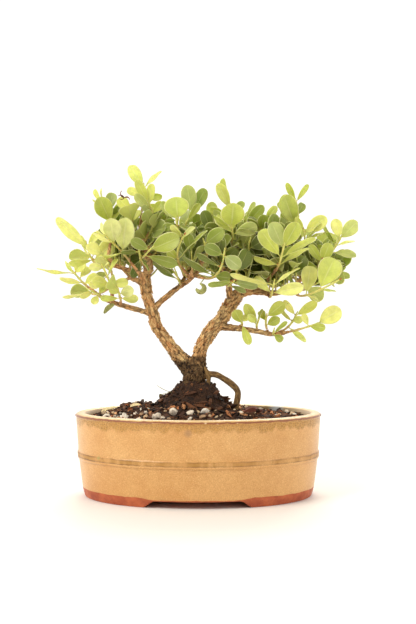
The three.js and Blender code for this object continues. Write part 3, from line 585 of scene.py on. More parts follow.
# Bits of one kind in shades that differ from piece to piece.
def makeBitMaterial(name, shades, grainScale, roughness=0.9):
    material, tree, sockets, place = startMaterial(name, Roughness=roughness)
    ramp = addNode(tree, "ShaderNodeValToRGB", {"Fac": readValue(tree, "shade")})
    ramp.color_ramp.elements[0].color = shades[0]
    ramp.color_ramp.elements[1].color = shades[-1]
    for i, shade in enumerate(shades[1:-1]):
        ramp.color_ramp.elements.new((i + 1) / (len(shades) - 1)).color = shade
    grain = useGroup(tree, "mottle", Place=place, Scale=grainScale, Detail=4.0, Contrast=0.18)
    darker = mixColor(tree, 0.45, ramp.outputs["Color"], srgb(20, 12, 8))
    plug(tree, mixColor(tree, times(tree, grain, 0.7), ramp.outputs["Color"], darker), sockets["Base Color"])
    bumpInto(tree, sockets, grain, 0.6, 0.0005)
    return material


def makeSoilBed():
    settings = soilSettings
    segments = settings["segments"]
    angles = 2 * np.pi * np.arange(segments) / segments
    ring = np.stack([np.cos(angles), np.sin(angles)], axis=1)
    points = []
    for inset, z in settings["wall"]:
        flat = ring * (potSettings["halfLength"] - inset, potSettings["halfWidth"] - inset)
        points.extend((x, y, z) for x, y in flat)
    for share in np.linspace(1, 0.01, settings["rings"]):
        points.extend((x, y, roughSoilHeight(x, y)) for x, y in ring * soilHalves * share)
    heap = MeshHeap()
    heap.add(points, ringFaces(len(points) // segments, segments))
    soil = makeSoilMaterial("barkMix", srgb(22, 11, 5), srgb(66, 38, 20), srgb(82, 52, 28))
    heap.makePiece("soilBed", [soil], "soil", ["soil"])


def icoShape(subdivisions):
    made = bmesh.new()
    bmesh.ops.create_icosphere(made, subdivisions=subdivisions, radius=1.0)
    points = np.array([vertex.co[:] for vertex in made.verts])
    faces = [tuple(vertex.index for vertex in face.verts) for face in made.faces]
    made.free()
    return points, faces


# A split chip: rings of four corners that narrow to both ends.
def chipShape():
    rings = [(-1, 0.55), (-0.35, 1), (0.4, 0.9), (1, 0.4)]
    corners = [(-1, -0.8), (1, -1), (0.8, 1), (-0.9, 0.7)]
    points = [(along, girth * side, girth * up) for along, girth in rings for side, up in corners]
    return np.array(points, float), ringFaces(4, 4)


def turnMatrix(yaw, tilt, roll):
    turned = Matrix.Rotation(yaw, 3, "Z") @ Matrix.Rotation(tilt, 3, "Y") @ Matrix.Rotation(roll, 3, "X")
    return np.array(turned)


# Loose bits on the soil. Half lengths in mm; girth and thick are shares of it; reach is how far out
# they lie, from 0 at the middle to 1 at the wall; placed ones are x, y and half length.
looseBits = {
    "barkChips": {
        "shape": "chip", "count": 1000, "half": (2.2, 6.5), "girth": (0.26, 0.5), "thick": (0.12, 0.3),
        "jitter": 0.28, "tilt": 34, "reach": (0.23, 0.985), "seed": 4211, "sharp": 35,
        "shades": [srgb(24, 12, 6), srgb(64, 35, 18), srgb(120, 74, 42), srgb(38, 21, 11)],
        "placed": [],
    },
    "rustyBits": {
        "shape": "chip", "count": 320, "half": (1.2, 4.2), "girth": (0.3, 0.6), "thick": (0.15, 0.4),
        "jitter": 0.3, "tilt": 40, "reach": (0.34, 0.97), "seed": 5003, "sharp": 35,
        "shades": [srgb(176, 100, 54), srgb(206, 134, 82), srgb(226, 172, 122), srgb(148, 80, 42)],
        "placed": [
            (-11, -19, 2.3), (3, -20, 2.0), (-24, -24, 2.2), (19, -26, 2.0), (-14, -30, 2.4),
            (9, -31, 2.2),
        ],
    },
    "crumbs": {
        "shape": "small", "count": 2300, "half": (0.7, 2.0), "girth": (0.6, 1.0), "thick": (0.5, 0.9),
        "jitter": 0.25, "tilt": 60, "reach": (0.0, 0.99), "seed": 6007, "sharp": 45,
        "shades": [srgb(18, 9, 5), srgb(58, 33, 18), srgb(124, 82, 50), srgb(32, 18, 10)],
        "placed": [],
    },
    "perlite": {
        "shape": "round", "count": 60, "half": (1.2, 3.0), "girth": (0.75, 1.0), "thick": (0.6, 0.9),
        "jitter": 0.34, "tilt": 60, "reach": (0.5, 0.93), "seed": 7001, "sharp": 60,
        "shades": [srgb(252, 234, 210), srgb(255, 246, 230), srgb(226, 202, 174)],
        "placed": [
            (-24, -46, 4.8), (-7.5, -45, 4.0), (6.5, -44, 4.2), (-41, -51, 5.0), (-73, -43, 4.9),
            (-58, -58, 3.2), (-92, -26, 3.6), (-80, -42, 3.0), (-34, -56, 2.8), (60, -55, 2.6),
            (-62, -34, 3.4), (84, -40, 2.6),
        ],
    },
    "tanGrit": {
        "shape": "small", "count": 130, "half": (1.4, 3.8), "girth": (0.6, 0.9), "thick": (0.4, 0.7),
        "jitter": 0.18, "tilt": 40, "reach": (0.4, 0.95), "seed": 8009, "sharp": 40,
        "shades": [srgb(210, 174, 132), srgb(236, 210, 172), srgb(176, 134, 94)],
        "placed": [(-96, -14, 4.2), (-52, -46, 4.4), (-74, -52, 3.6)],
    },
    "maroonChips": {
        "shape": "chip", "count": 0, "half": (3, 5), "girth": (0.4, 0.6), "thick": (0.2, 0.4),
        "jitter": 0.2, "tilt": 14, "reach": (0, 1), "seed": 9001, "sharp": 35,
        "shades": [srgb(88, 40, 26), srgb(112, 56, 36)],
        "placed": [(57, -2, 13), (50, -16, 8), (66, -12, 8)],
    },
}
bitShapes = {"chip": chipShape(), "small": icoShape(1), "round": icoShape(2)}


def between(limits, share):
    return limits[0] + (limits[1] - limits[0]) * share


def scatterBits(name, kind):
    draws = drawsFrom(kind["seed"])
    template, faces = bitShapes[kind["shape"]]
    spots = []
    for _ in range(kind["count"]):
        angle = 2 * math.pi * next(draws)
        share = math.sqrt(between(np.square(kind["reach"]), next(draws)))
        half = between(kind["half"], next(draws) ** 1.6)
        x, y = soilHalves * share * (1 - half / 90) * (math.cos(angle), math.sin(angle))
        spots.append((x, y, half))
    heap = MeshHeap("shade")
    for x, y, half in spots + kind["placed"]:
        girth = between(kind["girth"], next(draws))
        thick = between(kind["thick"], next(draws))
        bent = [point * (1 + kind["jitter"] * (2 * next(draws) - 1)) for point in template]
        tilt = math.radians(kind["tilt"])
        yaw, pitch, roll = next(draws), next(draws), next(draws)
        turn = turnMatrix(2 * math.pi * yaw, tilt * (2 * pitch - 1), tilt * (2 * roll - 1))
        lift = roughSoilHeight(x, y) + 0.5 * half * thick
        placed = (np.array(bent) * (half, half * girth, half * thick)) @ turn.T + (x, y, lift)
        heap.add(placed, faces, shade=next(draws))
    material = makeBitMaterial(name, kind["shades"], 500.0)
    heap.makePiece(name, [material], "soil", sharp=kind["sharp"])


makeSoilBed()
for name, kind in looseBits.items():
    scatterBits(name, kind)
print("soil ready")


# Wood. A station is x, y, z and radius.

limbs = {
    "bole": [
        (-4, 0, 99, 14), (-5, 0, 110, 12), (-4.5, 0, 118, 11),
        (-3.5, 0, 126, 12), (-4, 0, 133, 10.5),
    ],
    "leftStem": [
        (-8, 0, 127, 8.5), (-14.8, -1, 135.5, 7.6), (-20.5, -2, 141.2, 6.9),
        (-35.3, -3, 161.2, 5.8), (-43.7, -3, 173.8, 5.7), (-46.8, -2, 186.3, 5.5),
        (-51.5, 0, 198.8, 5.3), (-54, 2, 211.2, 5.6), (-54.5, 3, 223.7, 5),
        (-50.5, 4, 233, 3.8), (-50, 5, 243, 3), (-57, 6, 255, 2.4),
        (-61, 8, 267, 2), (-60, 8, 278, 1.7),
    ],
    "rightStem": [
        (-1, 0, 129, 8), (1.3, 0, 142.7, 6.4), (3.7, -1, 152.5, 6.5),
        (14, -2, 168.8, 7.4), (24.1, -2, 180, 6.6), (32.3, -1, 193.7, 7),
        (41.3, 0, 205, 6.2), (50, 2, 209, 4.5), (62, 3, 208, 3.6),
        (73, 4, 206.6, 3), (90, 4, 208, 2.5), (104, 2, 211, 2),
    ],
    "lowLeft": [
        (-47, -1, 184, 3.4), (-56, -3, 187.5, 2.9), (-66, -6, 190.5, 2.7),
        (-77.4, -9, 193.7, 2.6), (-87.2, -12, 196.8, 2.2), (-95, -14, 199.5, 1.9),
    ],
    "leftArm": [
        (-54, 1, 224, 3.2), (-69.5, -4, 229.5, 2.5), (-83, -8, 234, 2.2),
        (-92, -12, 242, 1.9),
    ],
    "stub": [
        (-55, 1, 216, 3.4), (-62, -2, 219, 2.8), (-68.5, -3, 221.5, 2.3),
    ],
    "inner": [
        (-46, 0, 190, 3.6), (-40.5, 1, 196, 3.1), (-29.3, 3, 206, 2.8),
        (-19, 4, 213.8, 2.6), (-11.1, 6, 218.8, 2.4), (1.6, 8, 232.4, 2),
        (3, 8, 246, 1.7),
    ],
    "leftBack": [
        (-54, 2, 211, 3), (-62, 20, 218, 2.6), (-74, 40, 226, 2.2),
        (-84, 56, 236, 1.8),
    ],
    "leftFront": [
        (-52.5, 0, 206, 2.8), (-55, -18, 216, 2.4), (-57, -32, 226, 2),
    ],
    "middleBack": [
        (-19, 4, 214, 2.4), (-14, 24, 224, 2.1), (-10, 44, 232, 1.8),
    ],
    "middleFront": [
        (-12, 6, 218, 2.3), (-8, -12, 222, 2), (-6, -26, 228, 1.7),
    ],
    "rightFork": [
        (34, -2, 198, 4.2), (31.5, -4, 212, 3.4), (29, -5, 223, 2.8),
        (24, -6, 236, 2.3), (26, -6, 249, 1.8),
    ],
    "rightFront": [
        (44, 1, 206, 3), (49, -16, 211, 2.4), (54, -32, 218, 2),
    ],
    "rightBack": [
        (41, 0, 205, 3.2), (50, 22, 214, 2.6), (58, 44, 224, 2.2),
        (64, 60, 232, 1.8),
    ],
    "rightRise": [
        (60, 3, 208, 2.8), (72, 6, 221, 2.4), (82, 6, 236, 2.1),
        (88, 5, 252, 1.8),
    ],
    "armBack": [
        (88, 4, 207.8, 2.3), (102, 22, 216, 2), (112, 38, 226, 1.7),
    ],
    "armRise": [
        (90, 4, 208, 2.2), (108, 4, 222, 2), (122, 4, 230, 1.7),
    ],
    "lowRight": [
        (20, -2, 173, 4.2), (27.4, -5, 171.5, 3.6), (42.9, -9, 169.9, 3),
        (60.7, -12, 167.3, 2.6), (74, -14, 164.5, 2.3), (87.2, -15, 165.6, 2),
    ],
}
archingRoot = [
    (5, -4, 121, 3.6), (10.8, -6, 123.4, 3.2), (18.7, -8, 122.7, 3.1), (26.6, -10, 118.6, 3.1),
    (34.4, -12, 113.2, 3.2), (39.6, -13, 107.6, 3.2), (40.4, -13, 101.3, 3.1), (39.2, -13, 95, 3.2),
    (37.6, -13, 86, 3.4), (37, -13, 79, 3),
]
sideRoot = [
    (5, -5, 130, 2.4), (9, -7, 125, 2.5), (10.5, -8, 118, 2.4), (9.5, -8, 111, 2.4),
    (8.5, -8, 103, 2),
]
bareLimbs = ("bole", "stub")

barkSettings = {
    "sides": 16,
    "voxel": 0.00068,
    "plateAcross": 3.4,
    "plateAlong": 8.5,
    "plateBend": (1.3, 0.55),  # scale and reach
    "crackWidth": 0.3,
    "crackDepth": 0.2,  # share of the limb's radius, between the limits below
    "crackLimits": (0.12, 1.5),
    "rootShare": 0.35,  # how deep the relief is on the roots
    "ridge": (0.8, 2.4),  # scale and sharpness
    "grainScale": 2.6,
    "burlSize": 9.0,
    "burlHeight": 0.13,
    "stainLevel": 0.1395,  # soil has darkened the bark below this height, in metres
}


# Points and radii on a smooth curve through the stations, with steps in each span.
def smoothRoute(stations, steps):
    places = np.array(stations, float)
    padded = np.vstack([2 * places[0] - places[1], places, 2 * places[-1] - places[-2]])
    route = []
    for p0, p1, p2, p3 in zip(padded, padded[1:], padded[2:], padded[3:]):
        slopeIn = 0.5 * (p2 - p0)
        slopeOut = 0.5 * (p3 - p1)
        cubic = 2 * p1 - 2 * p2 + slopeIn + slopeOut
        square = -3 * p1 + 3 * p2 - 2 * slopeIn - slopeOut
        for t in np.arange(steps) / steps:
            route.append(((cubic * t + square) * t + slopeIn) * t + p1)
    route.append(places[-1])
    return np.array(route)


# Shoots: foot, tip, pairs of leaves, leaf length, and turn of the first pair in degrees.
shoots = [
    # Crown over the left stem.
    ((-59, 8, 290), (-57, 8, 317), 3, 25, 0),
    ((-64, -4, 268), (-70, -6, 294), 2, 22, 80),
    ((-89, 0, 268), (-100, -6, 300), 3, 24, 60),
    ((-96, -8, 234), (-114, -10, 256), 2, 31, 15),
    ((-68, -24, 237), (-91, -48, 262), 3, 33, 60),
    ((-87, -16, 219), (-97, -20, 246), 3, 24, 30),
    ((-112, -8, 212), (-127, -6, 227), 3, 25, 20),
    ((-87, -26, 208), (-95, -32, 232), 3, 23, 50),
    ((-95, -16, 201), (-107, -20, 208), 2, 24, 0),
    ((-78, -24, 198), (-80, -38, 211), 3, 23, 60),
    ((-56, -10, 235), (-59, -30, 249), 2, 25, 45),
    ((-55, -16, 242), (-46, -42, 250), 2, 31, 30),
    ((-102, 48, 239), (-126, 68, 257), 2, 24, 20),
    ((-88, 60, 242), (-102, 84, 267), 2, 24, 40),
    ((-67, 36, 253), (-64, 56, 285), 2, 24, 10),
    ((-103, 34, 208), (-123, 60, 218), 2, 24, 30),
    ((-50, 4, 270), (-51, 0, 299), 3, 25, 20),
    # Middle of the crown.
    ((-15, -10, 263), (-20, -34, 280), 3, 25, 0),
    ((-12, 8, 264), (-5, 4, 290), 3, 24, 10),
    ((-16, -20, 231), (-14, -46, 262), 3, 25, 20),
    ((-18, -4, 215), (-23, -14, 228), 2, 33, 10),
    ((8, -14, 241), (6, -36, 257), 2, 27, 10),
    ((31, 6, 266), (33, 4, 296), 3, 28, 20),
    ((30, -10, 253), (33, -32, 272), 3, 26, 20),
    ((46, 4, 260), (48, -4, 279), 2, 25, 20),
    ((6, -26, 221), (26, -56, 246), 3, 24, 10),
    ((36, -22, 219), (35, -54, 238), 2, 27, 40),
    ((30, -14, 213), (36, -34, 218), 2, 26, 30),
    ((58, -4, 236), (52, -28, 259), 3, 25, 60),
    ((68, 8, 262), (71, 10, 284), 2, 23, 30),
    ((-20, 46, 264), (-25, 64, 290), 2, 24, 20),
    ((14, 50, 258), (17, 72, 291), 2, 24, 0),
    ((49, 54, 252), (52, 76, 284), 2, 24, 20),
    # Crown over the right stem.
    ((95, 4, 260), (100, 4, 304), 3, 26, 0),
    ((79, -26, 230), (84, -54, 251), 3, 28, 0),
    ((104, -2, 254), (108, -8, 270), 2, 26, 20),
    ((72, -26, 202), (75, -46, 216), 2, 31, 5),
    ((132, 0, 242), (146, -4, 263), 3, 24, 10),
    ((122, -10, 225), (125, -22, 239), 2, 24, 40),
    ((130, 10, 223), (144, 12, 231), 3, 24, 30),
    ((101, -20, 204), (138, -44, 218), 3, 27, 70),
    ((95, -6, 218), (96, -26, 231), 2, 27, 30),
    ((99, 56, 239), (108, 80, 267), 2, 24, 20),
    ((128, 46, 241), (143, 64, 257), 2, 24, 40),
    ((109, 42, 213), (131, 72, 224), 2, 24, 10),
    # The low limb on the right.
    ((43, -12, 173), (44, -18, 177), 2, 15, 0),
    ((60, -14, 169), (60, -22, 177), 2, 18, 0),
    ((70, -14, 169), (69, -18, 182), 3, 21, 20),
    ((76, -18, 164), (76, -26, 168), 2, 17, 20),
    ((86, -12, 168), (100, -8, 184), 3, 21, 0),
    ((92, -18, 167), (122, -22, 176), 3, 22, 20),
]

stemRadius = {"foot": 1.25, "tip": 1.0, "bud": 0.65}
spurSettings = {"seat": 1.9, "end": 1.5, "length": 9}
stemSettings = {"sag": 0.16, "lead": 0.45, "budLength": 2.2, "gap": 0.45}

limbPlaces = np.concatenate(
    [smoothRoute(stations, 5)[:, :3] for name, stations in limbs.items() if name not in bareLimbs]
)


# Stations on the curve from a stem's foot to its tip, which starts towards the control point.
def bowedRoute(foot, control, tip, steps):
    t = np.linspace(0, 1, steps + 1)[:, None]
    places = foot * (1 - t) ** 2 + control * 2 * t * (1 - t) + tip * t**2
    return np.hstack([places, stemRadius["foot"] + (stemRadius["tip"] - stemRadius["foot"]) * t])


# Each shoot's stem, and the woody spur that carries it on the nearest limb.
def layOutShoot(footAt, tipAt, pairs, leafLength, turn):
    foot = np.array(footAt, float)
    tip = np.array(tipAt, float)
    reach = np.linalg.norm(foot - tip)
    control = (foot + tip) / 2
    control[2] -= stemSettings["sag"] * reach
    wanted = foot + unit(foot - control) * spurSettings["length"]
    seat = limbPlaces[np.argmin(np.linalg.norm(limbPlaces - wanted, axis=1))]
    heading = unit(foot - seat)
    stemFoot = foot + heading * stemSettings["gap"]
    control = stemFoot + heading * stemSettings["lead"] * reach
    # Its bends lie halfway between the pairs of leaves.
    stem = bowedRoute(stemFoot, control, tip, 2 * pairs)
    stem = stem[[0] + list(range(1, 2 * pairs, 2))]
    bud = tip + unit(tip - control) * stemSettings["budLength"]
    stem = np.vstack([stem, [*bud, stemRadius["bud"]]])
    spur = np.array([[*seat, spurSettings["seat"]], [*foot, spurSettings["end"]]])
    curve = bowedRoute(stemFoot, control, tip, 6 * pairs)
    return {
        "stem": stem, "spur": spur, "pairs": pairs, "leafLength": leafLength, "turn": turn,
        "curve": curve, "heading": heading,
    }


laidOut = [layOutShoot(*shoot) for shoot in shoots]


def makeBark():
    material, tree, sockets, place = startMaterial("flakingBark", Roughness=0.88)
    crack = readValue(tree, "crack")
    flake = readValue(tree, "flake")
    height = addNode(tree, "ShaderNodeSeparateXYZ", {"Vector": place}).outputs["Z"]
    cloudy = useGroup(tree, "mottle", Place=place, Scale=110.0, Detail=4.0, Contrast=0.2)
    limbPlace = addNode(tree, "ShaderNodeAttribute", attribute_name="limbPlace").outputs["Vector"]
    drawn = stretch(tree, limbPlace, 1.0, 1.0, 0.3)
    fibre = useGroup(tree, "mottle", Place=drawn, Scale=700.0, Detail=5.0, Contrast=0.14)
    wood = mixColor(tree, flake, srgb(222, 152, 86), srgb(255, 218, 150))
    wood = mixColor(tree, times(tree, cloudy, 0.4), wood, srgb(228, 142, 82))
    wood = mixColor(tree, times(tree, fibre, 0.6), wood, srgb(122, 74, 36))
    light = useGroup(tree, "mottle", Place=drawn, Scale=330.0, Detail=4.0, Contrast=0.12)
    wood = mixColor(tree, times(tree, light, 0.45), wood, srgb(255, 224, 160))
    young = mapRange(tree, readValue(tree, "girth"), 1.4, 3.2, 0.55, 0.0)
    wood = mixColor(tree, young, wood, srgb(226, 164, 106))
    wood = mixColor(tree, times(tree, crack, 0.85), wood, srgb(62, 36, 18))
    # Soil-stained foot, and the grey-tan roots.
    level = barkSettings["stainLevel"]
    stained = useGroup(
        tree, "zone", Place=place, Height=height, Level=level, Softness=0.005, Waver=0.02, Scale=95.0
    )
    stain = mixColor(tree, fibre, srgb(34, 21, 11), srgb(98, 70, 36))
    wood = mixColor(tree, times(tree, addMath(tree, "SUBTRACT", 1.0, stained), 0.86), wood, stain)
    rootSkin = mixColor(tree, fibre, srgb(158, 124, 72), srgb(98, 70, 38))
    rootSkin = mixColor(tree, times(tree, cloudy, 0.6), rootSkin, srgb(88, 62, 34))
    plug(tree, mixColor(tree, readValue(tree, "root"), wood, rootSkin), sockets["Base Color"])
    bumpInto(tree, sockets, addMath(tree, "ADD", fibre, light), 0.8, 0.0006)
    return material


# Columns of a sample of a limb: place, direction, two directions across, radius, length so far and
# whether it is a root.
placeColumns, alongColumns, acrossColumns, asideColumns = (slice(i, i + 3) for i in (0, 3, 6, 9))
radiusColumn, lengthColumn, rootColumn = 12, 13, 14


# Samples along every limb.
def sampleLimbs(routes):
    rows = []
    for i, (route, isRoot) in enumerate(routes):
        steps = max(2, int(np.linalg.norm(np.diff(route[:, :3], axis=0), axis=1).mean() / 1.0))
        fine = smoothRoute(route, steps) if len(route) > 2 else route
        across = np.array([0.2, -1, 0.1])
        length = 40.0 * i
        for k, station in enumerate(fine):
            along = unit(fine[min(k + 1, len(fine) - 1), :3] - fine[max(k - 1, 0), :3])
            across = unit(across - along * across.dot(along))
            if k:
                length += np.linalg.norm(station[:3] - fine[k - 1, :3])
            aside = np.cross(along, across)
            rows.append([*station[:3], *along, *across, *aside, station[3], length, isRoot])
    return np.array(rows)


# Flaking plates, cracks between them and low burls, laid along the limb that each point is on.
def roughenBark(mesh, samples):
    settings = barkSettings
    count = len(mesh.vertices)
    flat = np.empty(count * 3)
    mesh.vertices.foreach_get("co", flat)
    points = flat.reshape(-1, 3) * 1000 - potMiddle
    normals = np.empty(count * 3, np.float32)
    mesh.vertex_normals.foreach_get("vector", normals)
    normals = normals.reshape(-1, 3)
    nearest = np.empty(count, int)
    middles = samples[None, :, placeColumns]
    radii = samples[None, :, radiusColumn]
    block = 4000  # points at a time, to save memory
    for start in range(0, count, block):
        part = points[start:start + block]
        away = np.linalg.norm(part[:, None, :] - middles, axis=2) - radii
        nearest[start:start + block] = away.argmin(axis=1)
    own = samples[nearest]
    offset = points - own[:, placeColumns]
    along = np.einsum("ij,ij->i", offset, own[:, alongColumns])
    u = np.einsum("ij,ij->i", offset, own[:, acrossColumns])
    v = np.einsum("ij,ij->i", offset, own[:, asideColumns])
    length = own[:, lengthColumn] + along
    girth = own[:, radiusColumn]
    isRoot = own[:, rootColumn]
    crack = np.empty(count)
    flake = np.empty(count)
    shift = np.empty(count)
    low, high = settings["crackLimits"]
    across = settings["plateAcross"]
    bendScale, bendReach = settings["plateBend"]
    ridgeScale, sharpness = settings["ridge"]
    onLimb = np.stack([u, v, length], axis=1) / 1000
    for i in range(count):
        place = Vector(onLimb[i]) * 1000
        place = Vector((place.x / across, place.y / across, place.z / settings["plateAlong"]))
        bend = noise.noise_vector(place * bendScale) * bendReach
        spread, centres = noise.voronoi(place + bend)
        crack[i] = max(0.0, 1 - (spread[1] - spread[0]) / settings["crackWidth"])
        flake[i] = math.sin(centres[0].dot(Vector((127.1, 311.7, 74.7)))) * 437.585 % 1
        ridge = 1 - abs(noise.noise(place * ridgeScale + bend)) * sharpness
        grain = noise.fractal(place * settings["grainScale"], 0.8, 2.1, 3)
        burl = noise.noise(Vector(points[i] / settings["burlSize"]))
        depth = min(high, max(low, settings["crackDepth"] * girth[i]))
        if isRoot[i]:
            depth *= settings["rootShare"]
        shift[i] = depth * (0.6 * grain + 0.5 * ridge - 0.8 * crack[i] ** 2 + 0.7 * (flake[i] - 0.5))
        shift[i] += settings["burlHeight"] * girth[i] * burl
        crack[i] = min(1.0, 0.75 * crack[i] + 0.5 * max(0.0, 0.35 - ridge))
    points = points + normals * shift[:, None]
    mesh.vertices.foreach_set("co", toFrame(points).ravel())
    for key, values in (("crack", crack), ("flake", flake), ("girth", girth), ("root", isRoot)):
        layer = mesh.attributes.new(key, "FLOAT", "POINT")
        layer.data.foreach_set("value", values.astype(np.float32))
    layer = mesh.attributes.new("limbPlace", "FLOAT_VECTOR", "POINT")
    layer.data.foreach_set("vector", onLimb.astype(np.float32).ravel())
    mesh.update()


def makeTrunk():
    settings = barkSettings
    heap = MeshHeap()
    routes = [(np.array(stations, float), 0) for stations in limbs.values()]
    routes += [(np.array(stations, float), 1) for stations in (archingRoot, sideRoot)]
    for route, _ in routes:
        smooth = smoothRoute(route, 5)
        # A rounded end past the last station.
        ahead = unit(smooth[-1, :3] - smooth[-2, :3])
        for share, narrow in ((0.45, 0.85), (0.75, 0.5)):
            end = [*(route[-1, :3] + ahead * route[-1, 3] * share), route[-1, 3] * narrow]
            smooth = np.vstack([smooth, end])
        heap.add(*tubeSkin(smooth, settings["sides"]))
    for shoot in laidOut:
        heap.add(*tubeSkin(shoot["spur"], 8))
        routes.append((shoot["spur"], 0))
    bark = makeBark()
    trunk = heap.makePiece("barkedTrunk", [bark], "bark", ["trunk"])
    remesh = trunk.modifiers.new("skin", "REMESH")
    remesh.mode = "VOXEL"
    remesh.voxel_size = settings["voxel"]
    remesh.use_smooth_shade = True
    bpy.context.view_layer.objects.active = trunk
    bpy.ops.object.modifier_apply(modifier=remesh.name)
    samples = sampleLimbs(routes)
    roughenBark(trunk.data, samples)
    print("trunk points", len(trunk.data.vertices))
    scatterFlakes(bark, samples)


# Loose flakes that stand off the bark of the thicker limbs, and crumbs of soil stuck to the foot.
flakeSettings = {
    "seed": 12007, "count": 1000, "thinnest": 4.0, "half": (0.9, 2.9), "girth": 0.42, "thick": 0.18,
    "lift": 32, "crumbsAbove": 112, "crumbsBelow": 138, "crumbCount": 620,
}


# A direction straight out of a limb at one of its samples.
def outOf(own, draws):
    angle = 2 * math.pi * next(draws)
    return own[acrossColumns] * math.cos(angle) + own[asideColumns] * math.sin(angle)


def scatterFlakes(bark, samples):
    settings = flakeSettings
    draws = drawsFrom(settings["seed"])
    thick = samples[(samples[:, radiusColumn] > settings["thinnest"]) & (samples[:, rootColumn] == 0)]
    low = thick[thick[:, 2] < settings["crumbsBelow"]]
    low = low[low[:, 2] > settings["crumbsAbove"]]
    heap = MeshHeap("crack", "flake", "girth", "root")
    template, faces = bitShapes["chip"]
    for _ in range(settings["count"]):
        own = thick[int(next(draws) * len(thick))]
        out = outOf(own, draws)
        lift = math.radians(settings["lift"]) * (2 * next(draws) - 1)
        along = own[alongColumns] * math.cos(lift) + out * math.sin(lift)
        side = np.cross(out, along)
        half = between(settings["half"], next(draws) ** 1.5)
        shaped = template * (half, half * settings["girth"] * (0.6 + next(draws)), half * settings["thick"])
        turn = np.stack([along, side, np.cross(along, side)])
        girth = own[radiusColumn]
        place = own[placeColumns] + out * girth * (1.0 + 0.05 * next(draws))
        heap.add(shaped @ turn + place, faces, flake=next(draws), girth=girth, crack=0.25 * next(draws))
    heap.makePiece("barkFlakes", [bark], "bark", sharp=30)
    heap = MeshHeap("shade")
    template, faces = bitShapes["small"]
    for _ in range(settings["crumbCount"]):
        own = low[int(next(draws) * len(low))]
        out = outOf(own, draws)
        half = 0.5 + 1.1 * next(draws) ** 2
        bent = [point * half * (1 + 0.6 * (next(draws) - 0.5)) for point in template]
        place = own[placeColumns] + out * own[radiusColumn] * 1.02
        heap.add(np.array(bent) + place, faces, shade=next(draws))
    shades = [srgb(30, 18, 10), srgb(62, 42, 22), srgb(116, 84, 48), srgb(40, 25, 14)]
    heap.makePiece("footCrumbs", [makeBitMaterial("footCrumbs", shades, 500.0)], "soil", sharp=45)


makeTrunk()
print("trunk ready")


# Leafy shoots, grown by the same rule as the solids they replace.

leafKinds = {
    "mature": {"open": 54, "size": 0.86, "ratio": 0.74, "widest": 0.6},
    "young": {"open": 34, "size": 0.74, "ratio": 0.54, "widest": 0.55},
}
leafVariety = {
    "open": 16, "turn": 24, "roll": 130, "size": 0.28, "ratio": 0.2, "arch": 0.34, "archMiddle": 0.62,
}
leafLift = 0.34
leafSeed = 7919
bladeFold = 0.28
rootOffset = 0.2
bladeFeelers = np.array([
    [0.3, 0], [0.32, 0.6], [0.32, -0.6], [0.5, 0], [0.5, 0.45], [0.5, -0.45], [0.5, 0.9], [0.5, -0.9],
    [0.7, 0], [0.7, 0.5], [0.7, -0.5], [0.68, 0.95], [0.68, -0.95], [0.88, 0], [0.86, 0.65],
    [0.86, -0.65], [1, 0],
])
clearance = {"blade": 3.9, "wood": 2.4, "innerBlade": 1.5, "innerWood": 0.8}
leafTries = [(0, 1), (22, 1), (-22, 1), (40, 0.9), (-40, 0.9), (10, 0.75), (-30, 0.75), (58, 0.75)]
leanTries = [0, 0.25, -0.25, 0.5, -0.5, 0.8, -0.8]
crownMiddle = np.array([0.0, 0.0, 215.0])
backFrom = 20
lean = {"along": 0.4, "aside": 0.9, "up": 0.6}
viewer = np.array([0.0, -1.0, 0.0])

